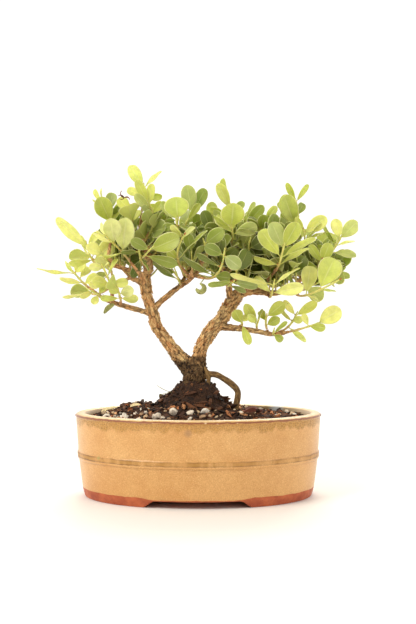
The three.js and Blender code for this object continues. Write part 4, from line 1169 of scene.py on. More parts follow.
# Leaves that stand out in the front view, under the number of their shoot: two for each pair from
# the foot up, as tip, width, and roll in degrees from facing the viewer.
placedLeaves = {
    1: [
        ((-77, 0, 292), 10, 20), ((-35, -6, 291), 11, 0),
        ((-74, 12, 315), 9, 10), ((-38, 14, 307), 8, -20),
        ((-71, 5, 339), 13, 0), ((-38, 11, 333), 8, 60),
    ],
    3: [
        ((-101, -12, 304), 19, 0), ((-80, 6, 300), 11, 20),
        "rule", ((-89, 8, 311), 12, 0),
        ((-107, -2, 313), 6, 30), ((-100, 2, 315), 5, 70),
    ],
    4: [
        ((-131, -19, 236), 8, 35), ((-88, -23, 258), 17, 0),
        ((-143, -18, 283), 13, 20), ((-103, 2, 269), 9, 20),
    ],
    5: [
        ((-95, -26, 243), 8, 80), ((-71, -46, 279), 21, 0),
        ((-105, -31, 266), 7, 60), ((-86, -49, 279), 18, -10),
        ((-99, -54, 266), 5, 60), ((-97, -34, 276), 6, 40),
    ],
    7: [
        ((-141, -13, 222), 8, 40), ((-100, -23, 223), 11, 15),
        ((-138, -1, 239), 6, 60), ((-112, 1, 232), 9, 20),
        ((-165, -10, 231), 6, 78), ((-118, -14, 239), 13, 0),
    ],
    8: [
        ((-105, -38, 219), 12, 10), ((-70, -36, 217), 10, 0),
        ((-109, -24, 213), 10, 30), ((-81, -24, 240), 8, 60),
        ((-108, -38, 233), 9, 10), ((-89, -36, 236), 5, 70),
    ],
    9: [
        ((-106, -24, 195), 8, 0), ((-94, -10, 215), 9, 10),
        ((-137, -22, 202), 6, 60), ((-118, -30, 202), 7, 20),
    ],
    10: [
        ((-98, -24, 201), 7, 20), ((-60, -32, 200), 9, 0),
        ((-87, -41, 211), 9, 10), ((-64, -43, 209), 12, 0),
        "rule", "none",
    ],
    11: [
        ((-67, -25, 222), 9, 10), ((-50, -29, 228), 5, 70),
        ((-77, -34, 247), 7, 40), ((-38, -38, 241), 10, -45),
    ],
    12: [
        ((-69, -18, 243), 9, 20), ((-21, -32, 235), 12, -25),
        ((-66, -44, 258), 11, 0), ((-18, -52, 260), 19, 0),
    ],
    17: [
        "none", "rule",
        ((-65, 10, 308), 10, 0), ((-36, -8, 299), 9, 30),
        ((-64, 6, 323), 10, 0), ((-48, 4, 319), 10, 10),
    ],
    18: [
        "none", ((-3, -26, 255), 7, 60),
        ((-36, -21, 272), 9, 10), ((-5, -29, 267), 8, 50),
        ((-38, -20, 298), 10, 20), ((-22, -40, 301), 25, 0),
    ],
    19: [
        "none", "none",
        "rule", ((2, -6, 298), 8, 20),
        ((-12, 2, 318), 16, 0), ((7, 10, 315), 13, 0),
    ],
    20: [
        ((-30, -32, 249), 10, 15), ((8, -40, 268), 9, 75),
        "rule", "none",
        ((-26, -52, 272), 8, 35), ((-4, -36, 272), 7, 40),
    ],
    21: [
        ((-46, -17, 238), 10, 60), ((-1, -13, 219), 7, 20),
        ((-39, -7, 233), 8, 30), "none",
    ],
    22: [
        "none", "rule",
        ((-8, -30, 265), 9, 20), ((25, -46, 268), 14, 0),
    ],
    23: [
        "rule", "none",
        ((11, -1, 294), 9, 20), ((47, 13, 302), 9, 10),
        ((20, -4, 319), 12, 0), ((26, 10, 326), 11, 45),
    ],
    24: [
        "rule", ((53, -13, 253), 12, 20),
        "rule", ((59, -28, 273), 14, 0),
        ((15, -25, 284), 7, 60), ((35, -43, 295), 24, 0),
    ],
    25: [
        "rule", "rule",
        ((58, 5, 301), 7, 20), ((66, -13, 295), 12, 0),
    ],
    26: [
        ((-15, -41, 241), 9, 50), ((32, -29, 221), 13, 0),
        ((-1, -39, 245), 7, 35), "none",
        ((7, -56, 251), 12, 0), ((41, -58, 230), 14, 0),
    ],
    28: [
        "none", ((48, -27, 207), 7, 30),
        ((10, -36, 214), 8, 40), ((59, -40, 212), 10, 10),
    ],
    34: [
        ((87, -10, 307), 19, 0), "rule",
        ((82, 10, 300), 8, 30), ((109, 10, 300), 9, 0),
        ((91, 1, 320), 7, 10), ((114, 7, 319), 6, 10),
    ],
    35: [
        ((56, -31, 242), 9, 40), ((111, -27, 252), 9, 55),
        ((62, -42, 268), 17, 0), ((116, -44, 260), 10, 35),
        ((72, -58, 274), 16, 0), ((97, -58, 274), 16, 0),
    ],
    36: [
        "rule", ((133, 1, 269), 8, 75),
        ((100, 1, 284), 7, 20), ((130, -15, 283), 15, 0),
    ],
    37: [
        ((57, -29, 222), 10, 10), ((104, -47, 212), 13, 0),
        ((32, -50, 225), 8, 45), ((101, -40, 231), 7, 70),
    ],
    38: [
        ((122, 5, 254), 9, 20), ((163, 3, 245), 9, 30),
        ((131, 2, 277), 7, 55), ((160, -8, 259), 8, 60),
        ((139, -10, 282), 12, 0), ((163, -4, 280), 15, 0),
    ],
    39: [
        ((106, -11, 236), 11, 10), "none",
        ((113, -17, 255), 9, 10), ((132, -27, 256), 13, 0),
    ],
    40: [
        "none", "rule",
        "none", ((158, 15, 224), 9, 20),
        "none", ((154, 8, 251), 18, 0),
    ],
    41: [
        ((113, -24, 233), 17, 0), ((121, -20, 197), 6, 60),
        ((135, -39, 240), 24, 0), ((138, -29, 207), 6, 70),
        "none", "none",
    ],
    46: [
        ((37, -19, 189), 12, 0), ((52, -17, 154), 9, 0),
        "none", ((51, -13, 183), 8, 10),
    ],
    47: [
        ((47, -22, 195), 11, 0), ((66, -12, 190), 6, 60),
        ((50, -31, 184), 8, 20), "none",
    ],
    48: [
        "none", ((82, -23, 181), 10, 0),
        ((64, -8, 188), 8, 10), "none",
        "none", ((87, -16, 196), 13, 0),
    ],
    49: [
        ((85, -22, 158), 8, 0), ((89, -22, 177), 6, 40),
        "none", "none",
    ],
    50: [
        "none", ((109, -17, 157), 7, 20),
        ((85, -4, 189), 6, 40), ((106, -18, 180), 8, 10),
        ((88, -6, 199), 7, 20), ((121, -10, 197), 10, 0),
    ],
    51: [
        "none", "none",
        ((106, -14, 185), 7, 10), ((128, -24, 171), 9, 0),
        "none", ((143, -26, 190), 18, 0),
    ],
}


# Balls that blades keep clear of: x, y, z, reach and owner.
class TakenRoom:
    def __init__(self):
        self.balls = np.zeros((40000, 5))
        self.count = 0

    def add(self, places, reach, owner):
        end = self.count + len(places)
        self.balls[self.count:end, :3] = places
        self.balls[self.count:end, 3] = reach
        self.balls[self.count:end, 4] = owner
        self.count = end

    def addAlong(self, route, owner):
        for here, after in zip(route, route[1:]):
            count = max(1, math.ceil(np.linalg.norm(here[:3] - after[:3]) / 3))
            shares = np.arange(count + 1)[:, None] / count
            places = here[:3] + (after[:3] - here[:3]) * shares
            self.add(places, here[3] + clearance["wood"], owner)

    def near(self, place, reach, owner):
        balls = self.balls[:self.count]
        close = np.abs(balls[:, :3] - place).max(axis=1) < reach
        return balls[close & (balls[:, 4] != owner)]


taken = TakenRoom()


def pairFrame(below, above):
    along = unit(above - below)
    depth = np.array([0.0, 1.0, 0.0])
    depth = unit(depth - along * along[1])
    return along, np.cross(depth, along), depth


def onBlade(leaf, share, across):
    share = np.asarray(share, float)[..., None]
    width = np.asarray(across, float)[..., None] * leaf["halfWidth"]
    lift = bladeFold * np.abs(width) + leaf["arch"] * leaf["length"] * share * share
    return leaf["root"] + leaf["along"] * share * leaf["length"] + leaf["side"] * width + leaf["face"] * lift


# The forms that a leaf of the rule may take, in order.
def ruledForms(shoot, pair, half, node, frame, kind, draws):
    stemAlong, across, depth = frame
    openDraw, turnDraw, rollDraw, lengthDraw, widthDraw, archDraw = (next(draws) for _ in range(6))
    opened = math.radians(kind["open"] + leafVariety["open"] * openDraw)
    size = shoot["leafLength"] * kind["size"] * (1 + leafVariety["size"] * lengthDraw)
    ratio = kind["ratio"] + leafVariety["ratio"] * widthDraw
    turn = shoot["turn"] + 90 * pair + half + leafVariety["turn"] * (turnDraw - 0.5)
    roll = leafVariety["roll"] * (rollDraw - 0.5)
    facing = unit(node - crownMiddle) + stemAlong * lean["along"]
    facing[1] += -lean["aside"] if node[1] < backFrom else lean["aside"]
    facing[2] += lean["up"]
    arch = leafVariety["arch"] * (archDraw - leafVariety["archMiddle"])
    forms = []
    for extraTurn, share in leafTries:
        angle = math.radians(turn + extraTurn)
        along = (
            stemAlong * math.cos(opened)
            + across * (math.sin(opened) * math.cos(angle))
            + depth * (math.sin(opened) * math.sin(angle))
        )
        along = unit(along + upright * leafLift)
        forms.append(leafForm(node, along, facing, roll, size * share, 0.5 * ratio * size * share, arch))
    return forms


def leafForm(node, along, facing, roll, length, halfWidth, arch):
    face = unit(facing - along * facing.dot(along))
    turn = math.radians(roll)
    face = face * math.cos(turn) + np.cross(face, along) * math.sin(turn)
    return {
        "root": node + along * rootOffset,
        "along": along,
        "face": face,
        "side": np.cross(face, along),
        "length": length,
        "halfWidth": halfWidth,
        "arch": arch,
    }


# The forms that a placed leaf may take, in order; all look the same from the front.
def placedForms(tip, width, roll, node):
    forms = []
    for share in leanTries:
        along = np.array(tip, float) - node
        along[1] += share * np.linalg.norm(along)
        length = np.linalg.norm(along)
        forms.append(leafForm(node, along / length, viewer, roll, length, width / 2, 0.0))
    return forms


# Where leaves may grow on a shoot, in crossed pairs.
def leafSlots(shoot, owner, seed, placed=()):
    draws = drawsFrom(seed)
    slots = []
    for pair in range(shoot["pairs"]):
        isYoung = pair == shoot["pairs"] - 1
        kind = leafKinds["young" if isYoung else "mature"]
        below = shoot["stem"][pair + 1][:3]
        above = shoot["stem"][pair + 2][:3]
        node = (below + above) / 2
        frame = pairFrame(below, above)
        for i, half in enumerate((0, 180)):
            forms = ruledForms(shoot, pair, half, node, frame, kind, draws)
            own = placed[2 * pair + i] if placed else "rule"
            if own == "none":
                continue
            isPlaced = own != "rule"
            if isPlaced:
                forms = placedForms(*own, node)
            for form in forms:
                form.update(kind=kind, young=isYoung)
            slots.append({"owner": owner, "isPlaced": isPlaced, "forms": forms, "node": node})
    return slots


# Leaves added to the solids' own stay this far inside their box.
innerLow, innerHigh = (np.array(corner) * 1000 - potMiddle for corner in cadBox)
innerLow = innerLow + 2
innerHigh = innerHigh - 2
innerFloor = ((-70, 12, 34, 60), (236, 232, 214, 212))  # their lowest heights at places along X


# The first form of a leaf that has room, if any.
def growLeaf(slot, bladeClearance, slack=0.0):
    owner = slot["owner"]
    longest = max(form["length"] for form in slot["forms"])
    others = taken.near(slot["node"], longest + 14, owner)
    for leaf in slot["forms"]:
        feelers = onBlade(leaf, bladeFeelers[:, 0], bladeFeelers[:, 1])
        if slack and (np.clip(feelers, innerLow, innerHigh) != feelers).any():
            continue
        if slack and (feelers[:, 2] < np.interp(feelers[:, 0], *innerFloor)).any():
            continue
        away = np.linalg.norm(feelers[:, None, :] - others[None, :, :3], axis=2)
        if (away >= others[None, :, 3] - slack).all():
            taken.add(feelers, bladeClearance, owner if slot["isPlaced"] else -1)
            return leaf
    return None


leafSettings = {
    "rows": 13,
    "columns": [-1, -0.82, -0.55, -0.26, 0, 0.26, 0.55, 0.82, 1],
    "petioleShare": 0.1,
    "petioleRadius": 0.62,
    "thick": 0.5,
    "edgeThick": 0.3,
    "wave": 0.035,
    "waves": 7,
    "cup": 0.16,
    "cupMiddle": 0.62,  # draws above it cup the edges forward, and those below roll them back
    "twist": 14,
    "fold": 0.26,
    "curl": 0.1,
    "curlMiddle": 0.6,
    "ribSoftness": 0.012,
    "blemishFrom": 0.975,
}


def makeLeafMaterial():
    material, tree, sockets, place = startMaterial(
        "leatheryLeaf", Subsurface_Weight=0.22, Subsurface_Scale=0.0022, Subsurface_Radius=(0.7, 1.0, 0.3),
        Specular_IOR_Level=0.4,
    )
    tone = readValue(tree, "tone")
    across = readValue(tree, "across")
    along = readValue(tree, "along")
    under = readValue(tree, "under")
    hue = readValue(tree, "hue")
    # The tone ramp runs from deep green where shade is painted to yellow-green where light is painted, with
    # each leaf's own spread.
    ramp = addNode(tree, "ShaderNodeValToRGB", {"Fac": tone})
    ramp.color_ramp.elements[0].color = srgb(82, 92, 26)
    ramp.color_ramp.elements[1].color = srgb(246, 244, 142)
    ramp.color_ramp.elements.new(0.35).color = srgb(138, 149, 42)
    ramp.color_ramp.elements.new(0.7).color = srgb(204, 209, 84)
    blade = ramp.outputs["Color"]
    pale = mixColor(tree, tone, srgb(176, 182, 106), srgb(244, 244, 184))
    # Some leaves are greener and some greyer than their neighbours.
    greener = mapRange(tree, hue, 0.0, 0.4, 0.4, 0.0)
    blade = mixColor(tree, greener, blade, mixColor(tree, tone, srgb(66, 88, 24), srgb(196, 224, 92)))
    greyer = times(tree, mapRange(tree, hue, 0.86, 0.97), 0.5)
    blade = mixColor(tree, greyer, blade, mixColor(tree, tone, srgb(66, 84, 56), srgb(206, 214, 150)))
    cloudy = useGroup(tree, "mottle", Place=place, Scale=150.0, Detail=3.0, Contrast=0.22)
    blade = mixColor(tree, times(tree, cloudy, 0.25), blade, srgb(96, 106, 36))
    # Lighter towards the tip: painted shade darkens each leaf towards its base.
    blade = mixColor(tree, times(tree, along, 0.16), blade, pale)
    aside = addMath(tree, "ABSOLUTE", across)
    # Side veins slope forward from the rib.
    slope = addMath(tree, "MULTIPLY_ADD", aside, -0.3, along)
    wave = addMath(tree, "SINE", times(tree, slope, 66.0))
    vein = times(tree, mapRange(tree, wave, 0.86, 1.0), mapRange(tree, aside, 0.7, 0.95, 1.0, 0.0))
    rib = times(tree, mapRange(tree, aside, 0.03, 0.08, 1.0, 0.0), mapRange(tree, along, 0.7, 1.0, 1.0, 0.0))
    # A pale rim along each edge: partly the leaf's own paler margin, partly a painted highlight where light
    # catches the edge.
    paleRimAndHighlight = mapRange(tree, aside, 0.9, 0.985)
    blade = mixColor(tree, times(tree, vein, 0.14), blade, pale)
    blade = mixColor(tree, times(tree, rib, 0.36), blade, pale)
    blade = mixColor(tree, times(tree, paleRimAndHighlight, 0.7), blade, srgb(246, 242, 178))
    blush = times(tree, mapRange(tree, along, 0.02, 0.22, 1.0, 0.0), 0.4)
    blade = mixColor(tree, blush, blade, srgb(196, 200, 104))
    # Matt, paler back.
    backColor = mixColor(tree, 0.5, blade, srgb(192, 194, 116))
    blade = mixColor(tree, under, blade, backColor)
    spots = useGroup(tree, "speckle", Place=place, Scale=520.0, Size=0.3, Share=0.22)
    blemish = times(tree, spots, readValue(tree, "blemish"))
    blade = mixColor(tree, blemish, blade, srgb(122, 62, 34))
    plug(tree, blade, sockets["Base Color"])
    gloss = mapRange(tree, under, 0.0, 1.0, 0.38, 0.62, "LINEAR")
    plug(tree, addMath(tree, "MULTIPLY_ADD", cloudy, 0.1, gloss), sockets["Roughness"])
    relief = addMath(tree, "ADD", times(tree, vein, 0.4), rib)
    bumpInto(tree, sockets, relief, 0.3, 0.0002)
    return material


def makeStemMaterial():
    material, tree, sockets, place = startMaterial(
        "greenStem", Roughness=0.5, Subsurface_Weight=0.15, Subsurface_Scale=0.001
    )
    grain = useGroup(tree, "mottle", Place=place, Scale=500.0, Detail=3.0, Contrast=0.2)
    green = mixColor(tree, grain, srgb(190, 188, 88), srgb(224, 220, 124))
    woody = mixColor(tree, grain, srgb(170, 128, 80), srgb(204, 162, 104))
    plug(tree, mixColor(tree, readValue(tree, "wood"), green, woody), sockets["Base Color"])
    bumpInto(tree, sockets, grain, 0.3, 0.0003)
    return material


def makeBudMaterial():
    material, tree, sockets, place = startMaterial("orangeBud", Roughness=0.5)
    grain = useGroup(tree, "mottle", Place=place, Scale=700.0, Detail=3.0, Contrast=0.2)
    plug(tree, mixColor(tree, grain, srgb(200, 112, 52), srgb(158, 70, 38)), sockets["Base Color"])
    return material


foliage = [makeLeafMaterial(), makeStemMaterial(), makeBudMaterial()]
blade, green, bud = range(3)
foliageKeys = ("tone", "hue", "across", "along", "under", "blemish", "wood")


# Half width of a blade at shares of its length, widest where its kind says.
def bladeWidths(shares, widest):
    power = math.log(0.5) / math.log(widest)
    s = 2 * np.clip(shares, 0, 1) ** power - 1
    base = (1 - np.abs(s) ** 1.6) ** 0.62
    tip = (1 - np.abs(s) ** 2.4) ** 0.5
    return np.maximum(np.where(s < 0, base, tip), 0.035)


def growBlade(heap, leaf, tone, draws):
    settings = leafSettings
    hue, waveDraw, cupDraw, twistDraw, blemishDraw, foldDraw, curlDraw = (next(draws) for _ in range(7))
    rows = settings["rows"]
    steps = 0.5 - 0.5 * np.cos(np.pi * np.arange(rows + 1) / rows)
    shares = settings["petioleShare"] + (1 - settings["petioleShare"]) * steps
    widths = bladeWidths(steps, leaf["kind"]["widest"])
    columns = np.array(settings["columns"], float)
    u = np.repeat(shares[:, None], len(columns), axis=1)
    v = widths[:, None] * columns[None, :]
    places = onBlade(leaf, u, v)
    half = leaf["halfWidth"]
    # Softened rib, cupped or rolled back edges, a wave along each edge, and some fold, twist and curl.
    soft = bladeFold * half * (np.sqrt(v**2 + settings["ribSoftness"]) - np.abs(v)) * widths[:, None]
    cupped = settings["cup"] * (cupDraw - settings["cupMiddle"])
    cup = cupped * half * columns[None, :] ** 4 * widths[:, None]
    phase = 2 * math.pi * waveDraw
    swing = np.sin(settings["waves"] * u + phase + 1.5 * columns[None, :])
    wave = settings["wave"] * leaf["length"] * swing * v**2
    twist = math.radians(settings["twist"]) * (twistDraw - 0.5) * 2 * u * v * half
    fold = settings["fold"] * foldDraw**2 * np.abs(v) * half
    curl = settings["curl"] * (curlDraw - settings["curlMiddle"]) * leaf["length"] * u**3
    places = places + leaf["face"] * (soft + cup + wave + twist + fold + curl)[..., None]
    thick = settings["edgeThick"] + (settings["thick"] - settings["edgeThick"]) * (1 - columns[None, :] ** 2)
    offset = leaf["face"] * (thick * np.minimum(1, widths[:, None] * 2) / 2)[..., None]
    columnCount = len(columns)
    pointCount = (rows + 1) * columnCount
    points = np.concatenate([(places + offset).reshape(-1, 3), (places - offset).reshape(-1, 3)])
    faces = []
    for i in range(rows):
        for j in range(columnCount - 1):
            a = i * columnCount + j
            b = a + columnCount
            faces.append((a, b, b + 1, a + 1))
            faces.append((pointCount + a, pointCount + a + 1, pointCount + b + 1, pointCount + b))
    rim = list(range(columnCount))
    rim += [i * columnCount + columnCount - 1 for i in range(1, rows + 1)]
    rim += [rows * columnCount + j for j in range(columnCount - 2, -1, -1)]
    rim += [i * columnCount for i in range(rows - 1, 0, -1)]
    for here, after in zip(rim, rim[1:] + rim[:1]):
        faces.append((here, after, pointCount + after, pointCount + here))
    heap.add(
        points, faces, blade,
        tone=tone, hue=hue,
        across=np.tile(np.tile(columns, rows + 1), 2),
        along=np.tile(np.repeat(steps, columnCount), 2),
        under=np.repeat([0.0, 1.0], pointCount),
        blemish=1.0 if blemishDraw > settings["blemishFrom"] else 0.0,
    )
    # Petiole, carried on as a raised rib under the blade.
    ribShares = np.array([0.0, 0.06, 0.12, 0.25, 0.4, 0.55])
    ribRadii = np.array([1.0, 0.85, 0.8, 0.55, 0.4, 0.2]) * settings["petioleRadius"]
    ribPlaces = onBlade(leaf, ribShares, np.zeros(6))
    ribPlaces[0] = leaf["root"] - leaf["along"] * 0.3
    ribPlaces = ribPlaces - leaf["face"] * np.array([0, 0, 0.12, 0.14, 0.12, 0.1])[:, None]
    heap.add(*tubeSkin(np.hstack([ribPlaces, ribRadii[:, None]]), 5, leaf["side"]), green, tone=tone)


# Painted light and shade: how sunlit each shoot is, painted into its leaves' colour, from deep green in the
# painted shade inside the crown to bright yellow-green on the sunlit outside.
paintedShootLight = [
    0.86, 0.68, 0.6, 0.9, 1.0, 0.86, 0.9, 0.78, 0.94, 0.8, 0.16, 0.2, 0.55, 0.52, 0.5, 0.5, 0.58,
    0.5, 0.46, 0.6, 0.22, 0.52, 0.54, 0.46, 0.36, 0.22, 0.2, 0.25, 0.18, 0.45, 0.4, 0.4, 0.4,
    0.52, 0.6, 0.76, 0.9, 0.8, 0.36, 0.42, 0.86, 0.12, 0.45, 0.5, 0.45,
    0.55, 0.66, 0.58, 0.6, 0.8, 0.8,
]


# A leaf's tone: its shoot's painted light and shade, a little brighter on the young pair, and a random
# spread.
def paintedLightToneOf(leaf, base, draws):
    tone = base + (0.1 if leaf["young"] else 0.0) + 0.4 * (next(draws) - 0.5)
    return min(1.0, max(0.0, tone))


def growBall(heap, place, along, length, radius, kind):
    rings = [(0, 0.55), (0.35, 1), (0.7, 0.75), (1, 0.15)]
    route = [[*(place + along * length * share), radius * width] for share, width in rings]
    heap.add(*tubeSkin(route, 6), kind)


# Shoots that end within reach of these spots have an orange bud; X and Z.
budSpots = np.array([(147, 220), (91, 277), (107, 287), (35, 234), (-3, 274), (134, 250), (-70, 262)])
budReach = 16


def growSpray(heap, shoot, owner, leaves, tone):
    draws = drawsFrom(104729 * (owner + 1))
    curve = shoot["curve"].copy()
    bends = shoot["stem"][1:shoot["pairs"] + 2, :3]
    # Swollen joints where the leaves stand.
    for node in (bends[:-1] + bends[1:]) / 2:
        away = np.linalg.norm(curve[:, :3] - node, axis=1)
        curve[:, 3] *= 1 + 0.3 * np.exp(-((away / 1.6) ** 2))
    curve[:, 3] *= 0.9
    end = shoot["stem"][-1]
    curve = np.vstack([curve, [*end[:3], 0.45]])
    points, faces = tubeSkin(curve, 8)
    wood = np.repeat(np.linspace(1.0, -0.6, len(curve)).clip(0, 1), 8)
    heap.add(points, faces, green, wood=wood)
    for leaf in leaves:
        growBlade(heap, leaf, paintedLightToneOf(leaf, tone, draws), draws)
        if next(draws) < 0.3:
            heading = unit(leaf["along"] + 0.8 * unit(end[:3] - leaf["root"]))
            growBall(heap, leaf["root"], heading, 2.2, 0.7, bud)
    along = unit(end[:3] - curve[-2, :3])
    away = np.linalg.norm(budSpots - end[[0, 2]], axis=1).min()
    growBall(heap, end[:3] - along, along, 3.6, 0.85, bud if away < budReach else green)


def makeSprays():
    for stations in limbs.values():
        taken.addAlong(np.array(stations, float), -1)
    for owner, shoot in enumerate(laidOut):
        taken.addAlong(shoot["spur"], -1)
        taken.addAlong(shoot["stem"], owner)
    slots = []
    for owner, shoot in enumerate(laidOut):
        slots += leafSlots(shoot, owner, leafSeed * (owner + 1), placedLeaves.get(owner + 1, ()))
    # Placed leaves take their room first.
    slots.sort(key=lambda slot: not slot["isPlaced"])
    grown = [[] for _ in laidOut]
    for slot in slots:
        leaf = growLeaf(slot, clearance["blade"])
        if leaf:
            grown[slot["owner"]].append(leaf)
    for owner, shoot in enumerate(laidOut):
        heap = MeshHeap(*foliageKeys)
        growSpray(heap, shoot, owner, grown[owner], paintedShootLight[owner])
        number = f"{owner + 1:02d}"
        heap.makePiece("leafySpray" + number, foliage, "leaf", ["spray_" + number])
    print("leaves on the main shoots", sum(map(len, grown)))


makeSprays()
print("sprays ready")


# Smaller shoots inside the crown, which only fill it: middle and half sizes of each region.

innerSettings = {
    "regions": [
        {"middle": (36, 16, 244), "halves": (84, 50, 38), "count": 150},
        {"middle": (-64, 14, 254), "halves": (40, 42, 32), "count": 56},
        {"middle": (112, 16, 234), "halves": (28, 34, 26), "count": 24},
    ],
    "pieces": 6,
    "seed": 3301,
    "leafSeed": 6151,
    "reach": (14, 58),
    "leaf": (21, 29),
    # Low tones only: painted shade on the leaves inside the crown.
    "tone": (0.0, 0.28),
    "sag": 0.12,
    "threePairsFrom": 26,  # shorter ones have two pairs
    "fewestLeaves": 2,
}


# A point in a region, nearer its skin than its middle.
def pointIn(region, draws):
    heading = unit(np.array([next(draws) - 0.5 for _ in range(3)]))
    return np.array(region["middle"]) + np.array(region["halves"]) * heading * next(draws) ** 0.4


def layOutInner(tip, draws):
    settings = innerSettings
    seat = limbPlaces[np.argmin(np.linalg.norm(limbPlaces - tip + upright * 10, axis=1))]
    reach = np.linalg.norm(tip - seat)
    length, turn = next(draws), next(draws)
    if not settings["reach"][0] < reach < settings["reach"][1]:
        return None
    pairs = 2 if reach < settings["threePairsFrom"] else 3
    control = (seat + tip) / 2 - upright * settings["sag"] * reach
    stem = bowedRoute(seat, control, tip, 2 * pairs)
    stem = stem[[0] + list(range(1, 2 * pairs, 2))]
    end = tip + unit(tip - control) * stemSettings["budLength"]
    return {
        "stem": np.vstack([stem, [*end, stemRadius["bud"]]]),
        "curve": bowedRoute(seat, control, tip, 6 * pairs) * (1, 1, 1, 0.8),
        "pairs": pairs,
        "leafLength": between(settings["leaf"], length),
        "turn": 180 * turn,
    }


def makeInnerShoots():
    settings = innerSettings
    draws = drawsFrom(settings["seed"])
    balls = taken.balls[:taken.count]
    balls[balls[:, 3] == clearance["blade"], 3] = clearance["innerBlade"]
    heaps = [MeshHeap(*foliageKeys) for _ in range(settings["pieces"])]
    tips = [pointIn(region, draws) for region in settings["regions"] for _ in range(region["count"])]
    grown = 0
    for i, tip in enumerate(tips):
        shoot = layOutInner(tip, draws)
        tone = between(settings["tone"], next(draws))
        if not shoot:
            continue
        owner = 1000 + i
        slots = leafSlots(shoot, owner, settings["leafSeed"] * (i + 1))
        leaves = [growLeaf(slot, clearance["innerBlade"], clearance["innerWood"]) for slot in slots]
        leaves = [leaf for leaf in leaves if leaf]
        if len(leaves) < settings["fewestLeaves"]:
            continue
        grown += len(leaves)
        taken.addAlong(shoot["stem"], owner)
        growSpray(heaps[i % len(heaps)], shoot, owner, leaves, tone)
    for i, heap in enumerate(heaps):
        heap.makePiece(f"innerShoots{i + 1}", foliage, "leaf")
    print("leaves on the inner shoots", grown)


makeInnerShoots()


# Withered bits and curled leaves: where each starts, its first direction, the way it bends, length
# and width, degrees of bend and shade; some also lean across their bend or hang by a stalk.
curls = [
    {"start": (-75, -16, 303), "along": (-1, 0, 0.1), "face": (0, -0.6, 1), "size": (11, 3),
     "bend": 150, "shade": 0.25},
    {"start": (-75, -16, 303), "along": (-0.5, 0, 1), "face": (-1, -0.6, -0.3), "size": (8, 2),
     "bend": 110, "shade": 0.2},
    {"start": (-75, -16, 303), "along": (0.8, 0, 0.5), "face": (0.2, -0.7, -1), "size": (9, 2.6),
     "bend": 130, "shade": 0.3},
    {"start": (-75, -16, 303), "along": (-0.6, 0, -1), "face": (-1, -0.7, 0), "size": (7, 2),
     "bend": 120, "shade": 0.2},
    {"start": (-85, -13.4, 194.8), "along": (-1, -0.1, -0.2), "face": (0, -0.9, -0.9), "size": (17, 8),
     "bend": 75, "shade": 0.7},
    {"start": (1.6, -27, 215), "along": (1, 0, 0.1), "face": (0, 0, -1), "size": (21, 7.5),
     "bend": 285, "shade": 0.72, "lean": 45, "hold": (5.8, -26.5, 220)},
    {"start": (-84, -36, 90), "along": (-1, 0, 0.3), "face": (0.2, -0.8, 1), "size": (16, 3.4),
     "bend": -80, "shade": 1.0},
    {"start": (-80, -38, 92), "along": (-1, -0.2, 0.1), "face": (0.1, -0.5, 1), "size": (14, 2.8),
     "bend": -50, "shade": 0.95},
    {"start": (-57, -40, 95), "along": (-1, 0, 0.1), "face": (0, -0.6, 1), "size": (11, 4.5),
     "bend": -40, "shade": 1.0},
    {"start": (-27, -12, 105), "along": (-1, 0, 0.25), "face": (0, 0, 1), "size": (17, 1.3),
     "bend": 24, "shade": 0.55},
    {"start": (-30, -14, 105), "along": (-1, 0, -0.1), "face": (0, 0, 1), "size": (11, 1.2),
     "bend": -30, "shade": 0.6},
]
curlSettings = {"steps": 22, "columns": (-1, -0.5, 0, 0.5, 1), "cup": 0.25, "halfThick": 0.15}
curlShades = [srgb(80, 38, 24), srgb(156, 88, 54), srgb(176, 184, 104), srgb(240, 218, 166)]


def growCurl(heap, curl):
    settings = curlSettings
    along = unit(np.array(curl["along"], float))
    face = np.array(curl["face"], float)
    face = unit(face - along * face.dot(along))
    side = np.cross(face, along)
    slant = math.radians(curl.get("lean", 0))
    length, width = curl["size"]
    place = np.array(curl["start"], float)
    if "hold" in curl:
        heap.add(*tubeSkin([[*curl["hold"], 0.6], [*place, 0.5]], 6), shade=curl["shade"])
    steps = settings["steps"]
    columns = np.array(settings["columns"])
    rings = []
    for share in np.arange(steps + 1) / steps:
        turn = math.radians(curl["bend"]) * share
        heading = along * math.cos(turn) + face * math.sin(turn)
        normal = face * math.cos(turn) - along * math.sin(turn)
        across = side * math.cos(slant) + normal * math.sin(slant)
        out = normal * math.cos(slant) - side * math.sin(slant)
        half = width / 2 * bladeWidths(np.array([share]), 0.5)[0]
        cup = settings["cup"] * half * columns**2
        row = place + np.outer(columns * half, across) + np.outer(cup, out)
        thick = out * settings["halfThick"]
        rings += [row + thick, row[::-1] - thick]
        place = place + heading * length / steps
    heap.add(np.concatenate(rings), ringFaces(steps + 1, 2 * len(columns)), shade=curl["shade"])


def makeCurls():
    heap = MeshHeap("shade")
    for curl in curls:
        growCurl(heap, curl)
    heap.makePiece("witheredBits", [makeBitMaterial("witheredBits", curlShades, 300.0)], "leaf")


# Thin thorns at the feet of some shoots.
thornSettings = {
    "seed": 90001, "share": 0.5, "length": (5, 9), "radius": 0.42,
    "shades": [srgb(96, 52, 28), srgb(150, 84, 44)],
}


def makeThorns():
    settings = thornSettings
    draws = drawsFrom(settings["seed"])
    heap = MeshHeap("shade")
    for shoot in laidOut:
        chance, length, turn, shade = (next(draws) for _ in range(4))
        if chance > settings["share"]:
            continue
        foot, end = shoot["spur"][0][:3], shoot["spur"][-1][:3]
        along = unit(end - foot)
        across = unit(np.cross(along, (0.1, -1, 0.2)))
        spin = 2 * math.pi * turn
        out = across * math.cos(spin) + np.cross(along, across) * math.sin(spin)
        heading = unit(out + 0.7 * along + 0.2 * upright)
        reach = between(settings["length"], length)
        radius = settings["radius"]
        route = [
            [*(end + heading * reach * share), radius * (1 - 0.85 * share)] for share in (-0.1, 0.4, 0.8, 1)
        ]
        heap.add(*tubeSkin(route, 6), shade=shade)
    heap.makePiece("thorns", [makeBitMaterial("thorn", settings["shades"], 300.0)], "bark")


makeCurls()
makeThorns()
print("small growth ready")


# Floor and light.

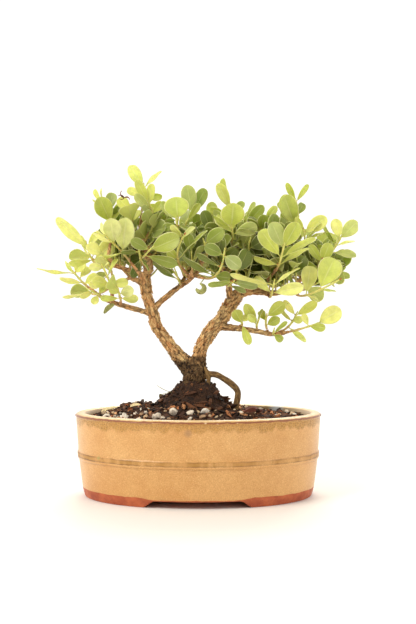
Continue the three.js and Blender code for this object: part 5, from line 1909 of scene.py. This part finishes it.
stageSettings = {
    "floorHalf": 1.3,
    "floorColor": (0.88, 0.865, 0.83, 1.0),
    "skyColor": (1.0, 0.985, 0.955, 1.0),
    "backdrop": 1.12,
    "front": 0.5,  # strength of the light from the viewer's side
    "behind": 1.05,
    "aim": (0, 0, 0.15),
    "lamps": [
        {"place": (-1.5, -1.1, 1.8), "size": 1.1, "power": 39, "color": (1.0, 0.96, 0.88)},
        {"place": (1.6, -1.2, 1.0), "size": 1.4, "power": 12, "color": (1.0, 0.95, 0.88)},
        {"place": (0.2, 1.4, 1.6), "size": 1.4, "power": 26, "color": (1.0, 0.97, 0.9)},
    ],
}


def makeStage():
    settings = stageSettings
    half = settings["floorHalf"]
    mesh = bpy.data.meshes.new("floor")
    corners = [(-half, -half, 0), (half, -half, 0), (half, half, 0), (-half, half, 0)]
    mesh.from_pydata(corners, [], [(0, 1, 2, 3)])
    floor = bpy.data.objects.new("floor", mesh)
    bpy.context.scene.collection.objects.link(floor)
    material, _, sockets, _ = startMaterial("paleFloor", Roughness=0.7)
    sockets["Base Color"].default_value = settings["floorColor"]
    mesh.materials.append(material)
    # A white backdrop; its light is weaker from the viewer's side.
    world = bpy.data.worlds.new("studio")
    world.use_nodes = True
    tree = world.node_tree
    background = tree.nodes["Background"].inputs
    background["Color"].default_value = settings["skyColor"]
    heading = addNode(tree, "ShaderNodeTexCoord").outputs["Generated"]
    rearward = addNode(tree, "ShaderNodeSeparateXYZ", {"Vector": heading}).outputs["Y"]
    light = mapRange(tree, rearward, -0.6, 0.6, settings["front"], settings["behind"])
    seen = addNode(tree, "ShaderNodeLightPath").outputs["Is Camera Ray"]
    strength = mapRange(tree, seen, 0.0, 1.0, light, settings["backdrop"], "LINEAR")
    tree.links.new(strength, background["Strength"])
    bpy.context.scene.world = world
    for i, lamp in enumerate(settings["lamps"]):
        light = bpy.data.lights.new(f"lamp{i}", "AREA")
        light.size = lamp["size"]
        light.energy = lamp["power"]
        light.color = lamp["color"]
        holder = bpy.data.objects.new(f"lamp{i}", light)
        holder.location = lamp["place"]
        aim = Vector(settings["aim"]) - holder.location
        holder.rotation_euler = aim.to_track_quat("-Z", "Y").to_euler()
        bpy.context.scene.collection.objects.link(holder)
    bpy.context.scene.view_settings.view_transform = "Standard"


makeStage()
print("stage ready")
